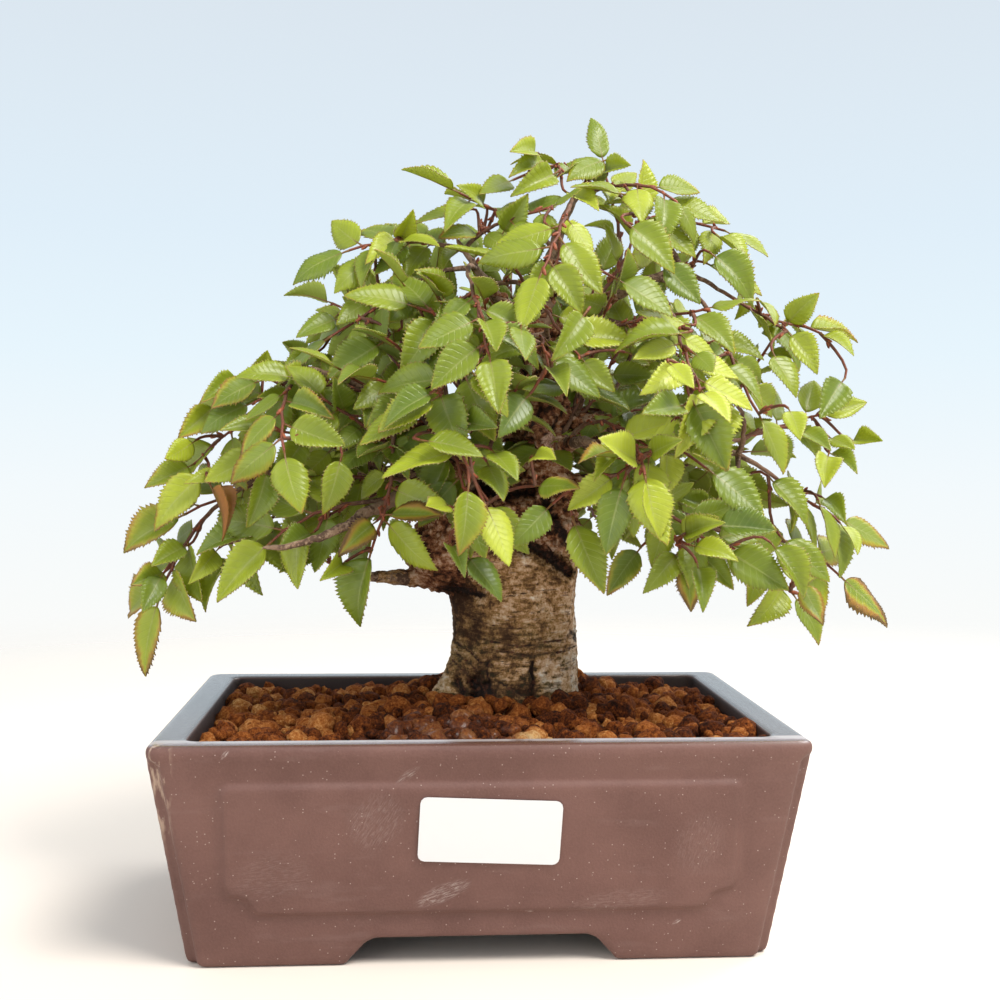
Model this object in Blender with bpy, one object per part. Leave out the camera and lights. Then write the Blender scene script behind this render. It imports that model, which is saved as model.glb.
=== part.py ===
"""Korean hornbeam bonsai in a rectangular fired pot, at its real size.

Lengths are millimetres in the pot's frame: X to the right, Y away from the viewer, Z up, and zero at
the pot's centre on the ground. add_object() turns them into metres, and moves the whole object so that
the middle of its box stands over the origin.
"""

from math import cos, exp, pi, radians, sin
from random import Random

import bmesh
import bpy
from mathutils import Matrix, Vector
from mathutils.bvhtree import BVHTree

# Driving dimensions of the pot
POT_LENGTH = 190.0
POT_DEPTH = 130.0
POT_HEIGHT = 67.0
RIM_WIDTH = 9.3
WALL = 6.5
LENGTH_TAPER = 8.6
DEPTH_TAPER = 10.8
LIP_HEIGHT = 5.5
LIP_STEP = 0.8
CORNER_RADIUS = 3.5
CORNER_NOTCH = 3.8
FOOT_HEIGHT = 8.4
FOOT_WIDTH = 9.0
FRONT_ARCH = (39.5, 31.5)
SIDE_ARCH = (24.0, 16.0)
FLOOR = 5.0
DRAIN_HOLE = 16.0
DRAIN_PLACE = 45.0
PANEL_HALF = 74.0
PANEL_LOW = 16.9
PANEL_HIGH = 54.8
PANEL_RISE = 0.9

# Driving dimensions of what is in and on the pot
ORIGIN = Vector((14.0, 15.0, 0.0))
GAP = 0.3
SCREEN = (22.0, 0.8)
SCREEN_SLOTS = 5
SLOT = (1.8, 15.0)
LABEL = (41.0, 19.5, 0.4)
LABEL_CORNER = 2.0
LABEL_PLACE = (1.7, 41.5)
LABEL_TILT = -2.5
SOIL_LEVEL = 60.3
SOIL_CELL = 8.6
SOIL_RELIEF = 1.5
MOUND = (4.5, 34.0)
MILLIMETRE = 0.001

# Driving dimensions of the tree
TRUNK = Vector((14.0, 15.0, 0.0))
TRUNK_SIDES = 14
BURL = Vector((-8.0, 13.0, 116.0))
BURL_SIZE = Vector((15.0, 15.0, 14.0))
CROWN = Vector((15.0, 12.0, 150.0))
BRANCH = (1.9, 1.3)
TWIG = 1.4
INTERNODE = 5.2
FRONT_LEAVES = 5
BACK_LEAVES = 6
SHORT_LEAF = 17.0
LONG_LEAF = 25.0

# A leaf. The outline is that of its half, as shares of its length and its width: a tooth, a notch, a tooth
BLADE = 0.75
LEAF_OUTLINE = ((0.29, 0.50), (0.37, 0.42), (0.64, 0.37))
LEAF_WIDTH = 0.58
LEAF_FOLD = 0.30
LEAF_ARCH = 0.09

# How often a leaf is drawn again where it would cross something, and a shoot on each of its nearest limbs
LEAF_TRIES = 30
SHOOT_TRIES = 8
SHOOT_LIMBS = 4

# Root flare, as its direction in degrees and how far it stands out of the trunk
ROOTS = ((192, 10.0), (248, 3.5), (322, 3.0), (48, 6.0), (128, 5.0))

# Height, centre x and y, half width and half depth of the trunk below its fork
TRUNK_RINGS = (
    (36, 14.0, 15.0, 12.0, 11.0),
    (50, 14.0, 15.0, 20.0, 18.0),
    (60, 13.5, 15.0, 23.0, 21.0),
    (66, 13.5, 15.0, 22.5, 21.0),
    (73, 14.0, 15.0, 21.8, 20.5),
    (84, 14.5, 15.0, 21.3, 20.0),
    (95, 14.3, 15.0, 21.0, 20.0),
    (104, 13.5, 15.0, 22.0, 20.5),
    (111, 11.0, 15.0, 26.0, 21.0),
    (119, 8.5, 15.0, 28.5, 21.5),
    (127, 8.0, 15.0, 26.5, 20.0),
    (135, 8.0, 15.5, 22.5, 18.0),
    (142, 9.0, 16.0, 17.0, 14.0),
    (146, 10.0, 16.5, 10.0, 8.0),
)

# Limbs: sides, radius at the root, radius at the end, and the places that each passes through
LIMBS = {
    "upper_trunk": (8, 14.0, 7.6, ((20, 16, 116), (22, 16, 132), (24, 15, 150), (24, 14, 166), (22, 13, 180))),
    "leader": (6, 6.0, 1.7, (
        (23, 13, 172), (23, 12, 186), (24, 10, 203), (27, 10, 219), (31, 10, 231), (36, 10, 241))),
    "low_left": (5, 3.2, 1.6, ((-6, 12, 109), (-20, 9, 108), (-33, 3, 109), (-46, -5, 112))),
    "long_left": (5, 3.6, 1.4, (
        (-2, 6, 140), (-12, -6, 143), (-26, -16, 136), (-41, -30, 128), (-54, -36, 123), (-64, -38, 121))),
    "left_mid": (5, 3.8, 1.4, (
        (2, 15, 134), (-14, 14, 140), (-33, 10, 144), (-53, 5, 145), (-73, 0, 142))),
    "left_back": (5, 3.6, 1.4, ((8, 20, 140), (-6, 30, 149), (-32, 44, 158), (-62, 54, 163))),
    "left_upper": (5, 3.6, 1.4, ((20, 14, 158), (2, 12, 160), (-18, 5, 165), (-40, 0, 173), (-56, -4, 178))),
    "front_left": (5, 3.4, 1.4, ((6, 8, 142), (0, -8, 149), (-8, -28, 153), (-14, -42, 156))),
    "front_right": (5, 3.4, 1.4, ((26, 10, 150), (29, -8, 153), (33, -28, 154), (37, -44, 151))),
    "right_mid": (5, 4.2, 1.5, ((24, 15, 157), (44, 7, 161), (64, 0, 160), (80, -4, 153), (90, -6, 149))),
    "right_back": (5, 3.8, 1.4, ((24, 20, 156), (42, 34, 162), (64, 48, 169), (92, 54, 172))),
    "right_low": (5, 3.8, 1.4, ((22, 15, 136), (40, 11, 140), (56, 5, 134), (74, -2, 128), (86, -5, 125))),
    "upper_left": (5, 3.6, 1.3, ((23, 12, 188), (12, 5, 197), (2, 0, 208), (-6, 0, 220))),
    "upper_right": (5, 3.6, 1.3, ((24, 12, 190), (40, 6, 200), (58, 1, 209), (72, 0, 213))),
    "upper_front": (5, 3.2, 1.3, ((24, 13, 172), (23, -4, 182), (21, -20, 190))),
    "back_high": (5, 3.6, 1.4, ((22, 16, 162), (23, 32, 172), (24, 48, 182), (24, 58, 188))),
    "back_low": (5, 3.6, 1.4, ((16, 20, 140), (18, 36, 148), (20, 52, 152), (20, 62, 152))),
    "stub": (6, 2.7, 2.3, ((21, 12, 159), (19, 3, 158), (24, -3, 154))),
}

# Leafy shoots seen from the front and the sides: where the twig ends, and its last leaf's tip
SHOOTS = {
    "crown_tip": ((43, 10, 250), (40, 9, 265)),
    "crown_left": ((28, 5, 247), (13, 3, 251)),
    "crown_right": ((55, 2, 231), (56, 0, 248)),
    "apex_front": ((24, -18, 229), (38, -25, 232)),
    "high_left": ((-6, -6, 235), (-24, -10, 242)),
    "shoulder_left": ((-42, 2, 217), (-61, 0, 209)),
    "shoulder_inner": ((-25, 8, 222), (-41, 10, 225)),
    "upper_left": ((-47, -2, 188), (-68, -5, 176)),
    "mid_left_far": ((-72, -6, 166), (-90, -10, 157)),
    "mid_left": ((-84, 2, 154), (-103, 0, 138)),
    "low_left_far": ((-95, 2, 130), (-115, 0, 118)),
    "droop_left": ((-102, -2, 103), (-111, -5, 79)),
    "low_left_mid": ((-78, -10, 117), (-94, -15, 103)),
    "low_left_inner": ((-64, -24, 122), (-82, -30, 107)),
    "hang_left": ((-36, -28, 120), (-39, -35, 96)),
    "front_left_low": ((-59, -40, 150), (-56, -50, 133)),
    "front_left_mid": ((-17, -45, 167), (-36, -55, 153)),
    "front_left_high": ((-20, -24, 195), (-40, -30, 204)),
    "front_middle": ((1, -58, 178), (3, -70, 162)),
    "front_high": ((17, -45, 204), (9, -55, 186)),
    "front_mid_low": ((19, -49, 176), (21, -60, 160)),
    "before_trunk_left": ((-5, -28, 139), (-3, -35, 118)),
    "before_trunk_right": ((5, -32, 135), (10, -40, 115)),
    "front_mid_right": ((27, -40, 178), (45, -50, 167)),
    "bright_left": ((60, -53, 169), (41, -65, 165)),
    "bright_right": ((63, -56, 169), (68, -68, 153)),
    "bright_low_left": ((39, -50, 144), (22, -60, 129)),
    "bright_low_right": ((47, -53, 146), (43, -65, 124)),
    "front_right_low": ((52, -40, 150), (70, -50, 138)),
    "under_right": ((62, -32, 120), (51, -40, 109)),
    "under_right_far": ((75, -36, 121), (93, -45, 111)),
    "low_right_inner": ((103, -15, 105), (112, -20, 90)),
    "low_right_far": ((123, 2, 111), (141, 0, 92)),
    "far_right": ((125, 6, 129), (145, 5, 120)),
    "mid_right_front": ((86, -28, 162), (98, -35, 147)),
    "edge_right": ((118, 4, 164), (133, 0, 169)),
    "upper_right_far": ((112, 6, 194), (132, 5, 193)),
    "upper_right_tip": ((104, 6, 193), (114, 0, 206)),
    "shoulder_right": ((71, -24, 196), (90, -30, 200)),
    "shoulder_right_high": ((82, 2, 229), (96, 0, 217)),
    "high_right_front": ((63, -15, 232), (76, -20, 219)),
    "mid_right": ((78, -6, 187), (95, -10, 185)),
}

# The far side's shoots are spread over a dome by a spiral rule
BACK_SHOOTS = 12
BACK_DOME = Vector((112.0, 88.0, 98.0))
BACK_LOWEST = -24.0
BACK_HIGHEST = 62.0
GOLDEN = 0.618


def material(name, colour, roughness, metallic=0.0):
    made = bpy.data.materials.new(name)
    made.use_nodes = True
    shader = made.node_tree.nodes["Principled BSDF"]
    shader.inputs["Base Color"].default_value = (*colour, 1.0)
    shader.inputs["Roughness"].default_value = roughness
    shader.inputs["Metallic"].default_value = metallic
    made.diffuse_color = (*colour, 1.0)
    return made


def add_object(name, points, faces, finish):
    """A mesh object in metres from points in millimetres, with its faces turned outwards."""
    mesh = bpy.data.meshes.new(name)
    mesh.from_pydata([(p - ORIGIN) * MILLIMETRE for p in points], [], faces)
    shape = bmesh.new()
    shape.from_mesh(mesh)
    bmesh.ops.recalc_face_normals(shape, faces=shape.faces)
    shape.to_mesh(mesh)
    shape.free()
    made = bpy.data.objects.new(name, mesh)
    bpy.context.scene.collection.objects.link(made)
    mesh.materials.append(finish)
    return made


def combine(target, others, operation, solver="EXACT"):
    """Unites the others with the target, or cuts them from it, and removes them."""
    group = bpy.data.collections.new("tools")
    bpy.context.scene.collection.children.link(group)
    for other in others:
        group.objects.link(other)
    step = target.modifiers.new("combine", "BOOLEAN")
    step.operation = operation
    step.solver = solver
    step.operand_type = "COLLECTION"
    step.collection = group
    graph = bpy.context.evaluated_depsgraph_get()
    result = bpy.data.meshes.new_from_object(target.evaluated_get(graph))
    target.modifiers.remove(step)
    finish = target.data.materials[0]
    target.data = result
    result.materials.clear()
    result.materials.append(finish)
    for other in others:
        bpy.data.objects.remove(other)
    bpy.data.collections.remove(group)


def loft(rings):
    """Points and faces of a closed body through rings with the same number of points."""
    count = len(rings[0])
    points = [point for ring in rings for point in ring]
    faces = [tuple(range(count)), tuple(range(len(points) - count, len(points)))]
    for start in range(0, len(points) - count, count):
        for i in range(count):
            j = (i + 1) % count
            faces.append((start + i, start + j, start + count + j, start + count + i))
    return points, faces


def smooth_path(places, step):
    """Points about a step apart on the smooth curve through the places."""
    knots = [Vector(p) for p in places]
    knots = [2 * knots[0] - knots[1], *knots, 2 * knots[-1] - knots[-2]]
    path = [knots[1]]
    for a, b, c, d in zip(knots, knots[1:], knots[2:], knots[3:]):
        pieces = max(1, round((c - b).length / step))
        for k in range(1, pieces + 1):
            t = k / pieces
            path.append(0.5 * (2 * b + (c - a) * t + (2 * a - 5 * b + 4 * c - d) * t * t
                               + (3 * b - a - 3 * c + d) * t ** 3))
    return path


def tangents(path):
    ends = [path[0], *path, path[-1]]
    return [(after - before).normalized() for before, after in zip(ends, ends[2:])]


def across(direction, wish):
    """The wish, made square to the direction."""
    return (wish - wish.project(direction)).normalized()


def tube_rings(path, radii, sides, wish):
    """Rings round a path, each square to it, with one flat side towards the wish."""
    rings = []
    for centre, along, radius in zip(path, tangents(path), radii):
        wish = across(along, wish)
        side = along.cross(wish)
        angles = [2 * pi * (k + 0.5) / sides for k in range(sides)]
        rings.append([centre + radius * (wish * cos(a) + side * sin(a)) for a in angles])
    return rings


# Pot

def corner_ring(half_length, half_depth, height, notched):
    """The pot's outline at one height: five points a corner, round at the lip and notched below it."""
    if notched:
        n, soft = CORNER_NOTCH, 0.6
        corner = ((0, n + soft), (soft, n), (n, n), (n, soft), (n + soft, 0))
    else:
        r = CORNER_RADIUS
        corner = [(r - r * cos(a), r - r * sin(a)) for a in (radians(22.5 * k) for k in range(5))]
    ring = []
    for sign_x, sign_y in ((1, 1), (-1, 1), (-1, -1), (1, -1)):
        turn = corner if sign_x == sign_y else corner[::-1]
        for inset_x, inset_y in turn:
            ring.append(Vector((sign_x * (half_length - inset_x), sign_y * (half_depth - inset_y), height)))
    return ring


def wall_inset(height):
    """How far the outer wall stands inside the lip, along the length and the depth."""
    share = (POT_HEIGHT - LIP_HEIGHT - height) / (POT_HEIGHT - LIP_HEIGHT)
    return LIP_STEP + (LENGTH_TAPER - LIP_STEP) * share, LIP_STEP + (DEPTH_TAPER - LIP_STEP) * share


def inner_half(height):
    """Half the length and half the depth of the pot's inside."""
    share = (POT_HEIGHT - height) / (POT_HEIGHT - FOOT_HEIGHT - FLOOR)
    foot_x, foot_y = wall_inset(FOOT_HEIGHT + FLOOR)
    top_x, top_y = POT_LENGTH / 2 - RIM_WIDTH, POT_DEPTH / 2 - RIM_WIDTH
    low_x, low_y = POT_LENGTH / 2 - foot_x - WALL, POT_DEPTH / 2 - foot_y - WALL
    return top_x + (low_x - top_x) * share, top_y + (low_y - top_y) * share


def inside_loft(bottom, top, clear):
    """The space inside the pot between two heights, smaller by a clearance."""
    rings = []
    for height in (bottom, top):
        half_x, half_y = inner_half(height)
        rings.append(corner_ring(half_x - clear, half_y - clear, height, False))
    return loft(rings)


def prism(outline, along, reach):
    """An outline in X and Z, or Y and Z, pushed through the pot to a reach on both sides."""
    if along == "Y":
        return loft([[Vector((a, y, z)) for a, z in outline] for y in (-reach, reach)])
    return loft([[Vector((x, a, z)) for a, z in outline] for x in (-reach, reach)])


def arch(ground, top):
    """The opening between two feet, from its half width at the ground and at the top."""
    half = ((ground + 1.0, -1.0), (ground, 0.8), (top + 2.6, FOOT_HEIGHT - 1.4), (top, FOOT_HEIGHT))
    return [*half, *[(-a, z) for a, z in half[::-1]]]


def panel_loft(side):
    """The raised panel, whose lower corners step inwards. It slopes with the wall that it grows from."""
    half, low, high = PANEL_HALF, PANEL_LOW, PANEL_HIGH
    right = ((half - 9.5, low), (half - 7.8, low + 1.6), (half - 7.0, low + 4.0), (half - 5.2, low + 5.2),
             (half - 1.3, low + 5.9), (half, low + 8.0), (half, high - 1.3), (half - 1.3, high))
    outline = [*right, *[(-x, z) for x, z in right[::-1]]]
    middle = (low + high) / 2
    slope = 0.8
    rings = []
    for rise, spread in ((-1.5, slope), (PANEL_RISE, 0.0)):
        ring = []
        for x, z in outline:
            x += spread * (x / half)
            z += spread * (z - middle) / (high - middle)
            ring.append(Vector((x, side * (POT_DEPTH / 2 - wall_inset(z)[1] + rise), z)))
        rings.append(ring)
    return loft(rings)


def drum(place, radius, low, high, sides=14):
    centre = Vector((*place, 0))
    angles = [2 * pi * k / sides for k in range(sides)]
    return loft([[centre + Vector((radius * cos(a), radius * sin(a), z)) for a in angles] for z in (low, high)])


def make_pot():
    finish = material("mauve_clay", (0.20, 0.115, 0.100), 0.55)
    half_x, half_y = POT_LENGTH / 2, POT_DEPTH / 2
    rings = []
    for height in (0.0, 0.9, POT_HEIGHT - LIP_HEIGHT):
        inset_x, inset_y = wall_inset(height)
        edge = 0.9 if height == 0 else 0.0
        rings.append(corner_ring(half_x - inset_x - edge, half_y - inset_y - edge, height, True))
    for drop, inset in ((3.8, 0.3), (1.7, 0.0), (0.6, 0.4), (0.0, 1.4)):
        rings.append(corner_ring(half_x - inset, half_y - inset, POT_HEIGHT - drop, False))
    pot = add_object("pot", *loft(rings), finish)
    panels = [add_object(f"panel_{side}", *panel_loft(side), finish) for side in (-1, 1)]
    combine(pot, panels, "UNION")

    above = 2.0
    under_x = half_x - LENGTH_TAPER - FOOT_WIDTH
    under_y = half_y - DEPTH_TAPER - FOOT_WIDTH
    under = [corner_ring(under_x, under_y, z, False) for z in (-above, FOOT_HEIGHT)]
    cutters = [
        inside_loft(FOOT_HEIGHT + FLOOR, POT_HEIGHT + above, 0.0),
        loft(under),
        prism(arch(*FRONT_ARCH), "Y", POT_DEPTH),
        prism(arch(*SIDE_ARCH), "X", POT_LENGTH),
        drum((-DRAIN_PLACE, 0), DRAIN_HOLE / 2, 0, FOOT_HEIGHT + FLOOR + above),
        drum((DRAIN_PLACE, 0), DRAIN_HOLE / 2, 0, FOOT_HEIGHT + FLOOR + above),
    ]
    for number, cutter in enumerate(cutters):
        combine(pot, [add_object(f"cutter_{number}", *cutter, finish)], "DIFFERENCE")
    return pot


def make_drain_screens():
    """Two slotted plates, one over each drain hole, under the soil."""
    finish = material("dark_plastic", (0.03, 0.03, 0.03), 0.5)
    size, thick = SCREEN
    low = FOOT_HEIGHT + FLOOR + GAP
    for side, name in ((-1, "drain_screen_left"), (1, "drain_screen_right")):
        middle = side * DRAIN_PLACE

        def plate(half_x, half_y, x, bottom, top):
            corners = ((-half_x, -half_y), (half_x, -half_y), (half_x, half_y), (-half_x, half_y))
            return loft([[Vector((middle + x + a, b, z)) for a, b in corners] for z in (bottom, top)])

        screen = add_object(name, *plate(size / 2, size / 2, 0, low, low + thick), finish)
        pitch = size / (SCREEN_SLOTS + 1)
        cutters = []
        for k in range(SCREEN_SLOTS):
            x = (k - (SCREEN_SLOTS - 1) / 2) * pitch
            slot = plate(SLOT[0] / 2, SLOT[1] / 2, x, low - thick, low + 2 * thick)
            cutters.append(add_object(f"slot_{k}", *slot, finish))
        combine(screen, cutters, "DIFFERENCE")


def make_label():
    """A blank sticker with round corners, a hair off the sloping front panel."""
    finish = material("white_label", (0.85, 0.85, 0.86), 0.45)
    length, height, thick = LABEL
    radius = LABEL_CORNER
    middle = Vector((LABEL_PLACE[0], 0.0, LABEL_PLACE[1]))
    middle.y = -(POT_DEPTH / 2 - wall_inset(middle.z)[1] + PANEL_RISE)
    lean = (DEPTH_TAPER - LIP_STEP) / (POT_HEIGHT - LIP_HEIGHT)
    place = Matrix.Translation(middle) @ Matrix.Rotation(pi / 2 + lean, 4, "X")
    place = place @ Matrix.Rotation(radians(LABEL_TILT), 4, "Z")
    ring = []
    for quarter in range(4):
        sign_x, sign_y = ((1, 1), (-1, 1), (-1, -1), (1, -1))[quarter]
        centre = (sign_x * (length / 2 - radius), sign_y * (height / 2 - radius))
        for step in range(4):
            angle = radians(90 * quarter + 30 * step)
            ring.append((centre[0] + radius * cos(angle), centre[1] + radius * sin(angle)))
    rings = [[place @ Vector((x, y, z)) for x, y in ring] for z in (GAP, GAP + thick)]
    add_object("label", *loft(rings), finish)


# Trunk and soil

def trunk_ring(height, centre_x, centre_y, half_x, half_y, grow=0.0):
    """One outline of the trunk, drawn out into roots near the soil."""
    spread = max(0.0, min(1.0, (84 - height) / 20)) ** 2
    ring = []
    for k in range(TRUNK_SIDES):
        degrees = 360 * k / TRUNK_SIDES
        root = 0.0
        for direction, reach in ROOTS:
            apart = (degrees - direction + 180) % 360 - 180
            root += reach * exp(-(apart / 20) ** 2)
        angle = radians(degrees)
        out = Vector((half_x * cos(angle), half_y * sin(angle), 0))
        out *= (out.length + root * spread + grow) / out.length
        ring.append(Vector((centre_x, centre_y, height)) + out)
    return ring


def make_soil():
    finish = material("red_granules", (0.16, 0.05, 0.02), 0.9)
    half_x, half_y = inner_half(POT_HEIGHT)
    count_x, count_y = round(2 * half_x / SOIL_CELL), round(2 * half_y / SOIL_CELL)
    draw = Random("soil")
    top = []
    for j in range(count_y + 1):
        for i in range(count_x + 1):
            x = half_x * (2 * i / count_x - 1)
            y = half_y * (2 * j / count_y - 1)
            mound = MOUND[0] * exp(-((x - TRUNK.x) ** 2 + (y - TRUNK.y) ** 2) / MOUND[1] ** 2)
            z = SOIL_LEVEL + mound + draw.uniform(-SOIL_RELIEF, SOIL_RELIEF)
            if 0 < i < count_x and 0 < j < count_y:
                x += draw.uniform(-SOIL_RELIEF, SOIL_RELIEF)
                y += draw.uniform(-SOIL_RELIEF, SOIL_RELIEF)
            top.append(Vector((x, y, z)))
    row = count_x + 1
    faces = []
    for j in range(count_y):
        for i in range(count_x):
            a = j * row + i
            faces += [(a, a + 1, a + row + 1), (a, a + row + 1, a + row)]
    edge = list(range(row))
    edge += [j * row + count_x for j in range(1, count_y + 1)]
    edge += [count_y * row + i for i in range(count_x - 1, -1, -1)]
    edge += [j * row for j in range(count_y - 1, 0, -1)]
    low = [Vector((top[k].x, top[k].y, FOOT_HEIGHT)) for k in edge]
    first = len(top)
    for k, index in enumerate(edge):
        after = (k + 1) % len(edge)
        faces.append((index, edge[after], first + after, first + k))
    faces.append(tuple(range(first, first + len(low))))
    soil = add_object("soil", top + low, faces, finish)
    # The screens lie between the soil and the pot's floor.
    floor = FOOT_HEIGHT + FLOOR + 2 * GAP + SCREEN[1]
    room = add_object("room", *inside_loft(floor, POT_HEIGHT, GAP), finish)
    combine(soil, [room], "INTERSECT")
    plug = [trunk_ring(*ring, grow=GAP) for ring in TRUNK_RINGS[:6]]
    plug[0] = [point - Vector((0, 0, GAP)) for point in plug[0]]
    combine(soil, [add_object("plug", *loft(plug), finish)], "DIFFERENCE")
    return soil


def limb_path(name, step=4.0):
    """Centre points about a step apart along a limb, with their radii."""
    thick, thin, places = LIMBS[name][1:]
    path = smooth_path(places, step)
    last = len(path) - 1
    return path, [thick + (thin - thick) * (k / last) ** 0.8 for k in range(last + 1)]


def limb_loft(name):
    """The limb as a tube with fewer rings than its centre points."""
    return loft(tube_rings(*limb_path(name, 14.0), LIMBS[name][0], Vector((0.1, 0.2, 1))))


def burl_points():
    """The knotted lump at the left of the fork."""
    shape = bmesh.new()
    bmesh.ops.create_icosphere(shape, subdivisions=2, radius=1.0)
    draw = Random("burl")
    points = []
    for vertex in shape.verts:
        size = 1 + draw.uniform(-0.09, 0.09)
        points.append(BURL + Matrix.Diagonal(BURL_SIZE) @ vertex.co * size)
    faces = [tuple(v.index for v in face.verts) for face in shape.faces]
    shape.free()
    return points, faces


# Shoots

def back_shoots():
    """Places on the rear dome, as the twig's end and its last leaf's tip."""
    made = {}
    for k in range(BACK_SHOOTS):
        turn = radians(14 + 152 * ((k * GOLDEN) % 1.0))
        rise = radians(BACK_LOWEST + (BACK_HIGHEST - BACK_LOWEST) * (k + 0.5) / BACK_SHOOTS)
        out = Vector((cos(rise) * cos(turn), cos(rise) * sin(turn), sin(rise)))
        tip = CROWN + Vector(a * b for a, b in zip(out, BACK_DOME))
        lean = (out + Vector((0, 0, -0.45 * cos(rise)))).normalized()
        made[f"back_{k + 1}"] = (tip - 21 * lean, tip)
    return made


def bezier(a, b, c, d, count=40):
    path = []
    for k in range(count + 1):
        t = k / count
        s = 1 - t
        path.append(s ** 3 * a + 3 * s * s * t * b + 3 * s * t * t * c + t ** 3 * d)
    return path


def at_lengths(path, lengths):
    """Points of a path at the given lengths from its end."""
    found = []
    for left in lengths:
        for after, before in zip(path[::-1], path[-2::-1]):
            part = (after - before).length
            if left <= part or before is path[0]:
                found.append(after.lerp(before, min(1.0, left / part)))
                break
            left -= part
    return found


def branch_roots(end, heading, twig, limbs):
    """The best place on each limb for a shoot to grow from, best first: behind its end, past its twig."""
    wish = end - (twig + 15) * heading - Vector((0, 0, 4))
    nearest = twig + 10
    roots = []
    for path, radii in limbs.values():
        choices = []
        for place, radius, along in list(zip(path, radii, tangents(path)))[2:-1]:
            short = max(0.0, nearest - (end - place).length)
            choices.append(((place - wish).length + 6 * short + 5 * max(0.0, radius - 4), place, along))
        roots.append(min(choices, key=lambda choice: choice[0]))
    return sorted(roots, key=lambda choice: choice[0])


def shoot_path(name, end, heading, roots, attempt):
    """A branch and its twig as one curve, bent more at each attempt, and then moved to the next limb."""
    place, along = roots[attempt // SHOOT_TRIES][1:]
    draw = Random(f"{name} path {attempt}")
    reach = (end - place).length
    sway = Vector([draw.uniform(-1, 1) for axis in range(3)]) * (1.5 + 1.6 * (attempt % SHOOT_TRIES))
    end = end + 0.25 * sway
    start = (0.7 * along + (end - place).normalized() * 1.5 + Vector((0, 0, 0.2))).normalized()
    return bezier(place, place + 0.3 * reach * start + sway, end - 0.42 * reach * heading + 0.6 * sway, end)


class Sprig:
    """A twig's centre points from its foot to its end, with the way that its upper side faces."""

    def __init__(self, path, facing, leaves):
        self.leaves = leaves
        self.points = at_lengths(path, [INTERNODE * (leaves - k) for k in range(leaves + 1)])
        self.foot = self.points[0]
        self.facing = facing
        self.along = tangents(self.points)

    def rings(self, thickness):
        return tube_rings(self.points, [thickness / 2 ** 0.5] * len(self.points), 4, self.facing)

    def frames(self):
        """For each ring: its centre, the way along, the upper side, and the right-hand side."""
        facing = self.facing
        for centre, along in zip(self.points, self.along):
            facing = across(along, facing)
            yield centre, along, facing, along.cross(facing)


def leaf_axes(along, upper, outward, name, number, attempt):
    """Draws how a leaf stands on its twig: its length, and the ways of its tip, front edge and face."""
    draw = Random(f"{name} leaf {number} {attempt}")
    loose = attempt / LEAF_TRIES
    if outward is None:
        tip = (along - upper * draw.uniform(-0.04 - 0.5 * loose, 0.08 + 0.6 * loose)).normalized()
        front = across(tip, along.cross(upper))
        roll = radians(draw.uniform(-12, 12) * (1 + 2 * loose))
        size = draw.uniform(0.98, 1.04)
    else:
        turn = radians(draw.uniform(54, 64 + 16 * loose))
        tip = along * cos(turn) + outward * sin(turn)
        tip = (tip - upper * draw.uniform(0.02 - 0.5 * loose, 0.35 + 0.5 * loose)).normalized()
        front = across(tip, along)
        roll = radians(draw.uniform(14 - 20 * loose, 24 + 20 * loose))
        size = draw.uniform(0.88, 1.04)
    size *= 1 - 0.4 * loose
    face = front.cross(tip)
    if face.dot(upper) < 0:
        face = -face
    edge = front * cos(roll) - face * sin(roll)
    face = face * cos(roll) + front * sin(roll)
    return size, tip, edge, face


def blade_points(base, tip, edge, face, length, thickness, spread=1.0):
    """The upper and lower outline points of a leaf: rear edge, front edge, then the tip."""
    width = LEAF_WIDTH * length
    upper = []
    for side in (-1, 1):
        for u, v in LEAF_OUTLINE:
            rise = LEAF_FOLD * v * width - LEAF_ARCH * u * u * length
            upper.append(base + tip * (u * length) + edge * (side * v * width * spread) + face * rise)
    upper.append(base + tip * (length * (1 + (spread - 1) / 2)) - face * (LEAF_ARCH * length))
    half = face * (thickness / 2)
    return [p + half for p in upper], [p - half for p in upper]


def blade_faces(upper, lower, base):
    """Faces of a leaf from point numbers. The base is rear top, front top, rear bottom, front bottom."""
    faces = []
    teeth = len(LEAF_OUTLINE)
    for points, rear, front in ((upper, base[0], base[1]), (lower, base[2], base[3])):
        tip = points[-1]
        faces.append((rear, front, tip))
        for corner, chain in ((rear, points[:teeth]), (front, points[teeth:2 * teeth])):
            chain = [*chain, tip]
            faces += [(corner, a, b) for a, b in zip(chain, chain[1:])]
    for start, top, bottom in ((base[0], upper[:teeth], lower[:teeth]),
                               (base[1], upper[teeth:2 * teeth], lower[teeth:2 * teeth])):
        top = [start, *top, upper[-1]]
        bottom = [base[2] if start == base[0] else base[3], *bottom, lower[-1]]
        faces += [(top[k], top[k + 1], bottom[k + 1], bottom[k]) for k in range(teeth + 1)]
    return faces


def blade_tree(base, tip, edge, face, length, thickness, spread, start):
    """A search tree of one leaf from a share of its length on, for finding what it would cross."""
    upper, lower = blade_points(base, tip, edge, face, length, thickness, spread)
    teeth = len(LEAF_OUTLINE)
    foot = base + tip * (start * length)
    half = face * (thickness / 2)
    side = edge * 0.6
    base_points = [foot - side + half, foot + side + half, foot - side - half, foot + side - half]
    points = [*upper, *lower, *base_points]
    count = 2 * teeth + 1
    numbers = list(range(2 * count, 2 * count + 4))
    faces = blade_faces(list(range(count)), list(range(count, 2 * count)), numbers)
    faces.append((numbers[0], numbers[1], numbers[3], numbers[2]))
    return BVHTree.FromPolygons(points, faces), points


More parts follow.
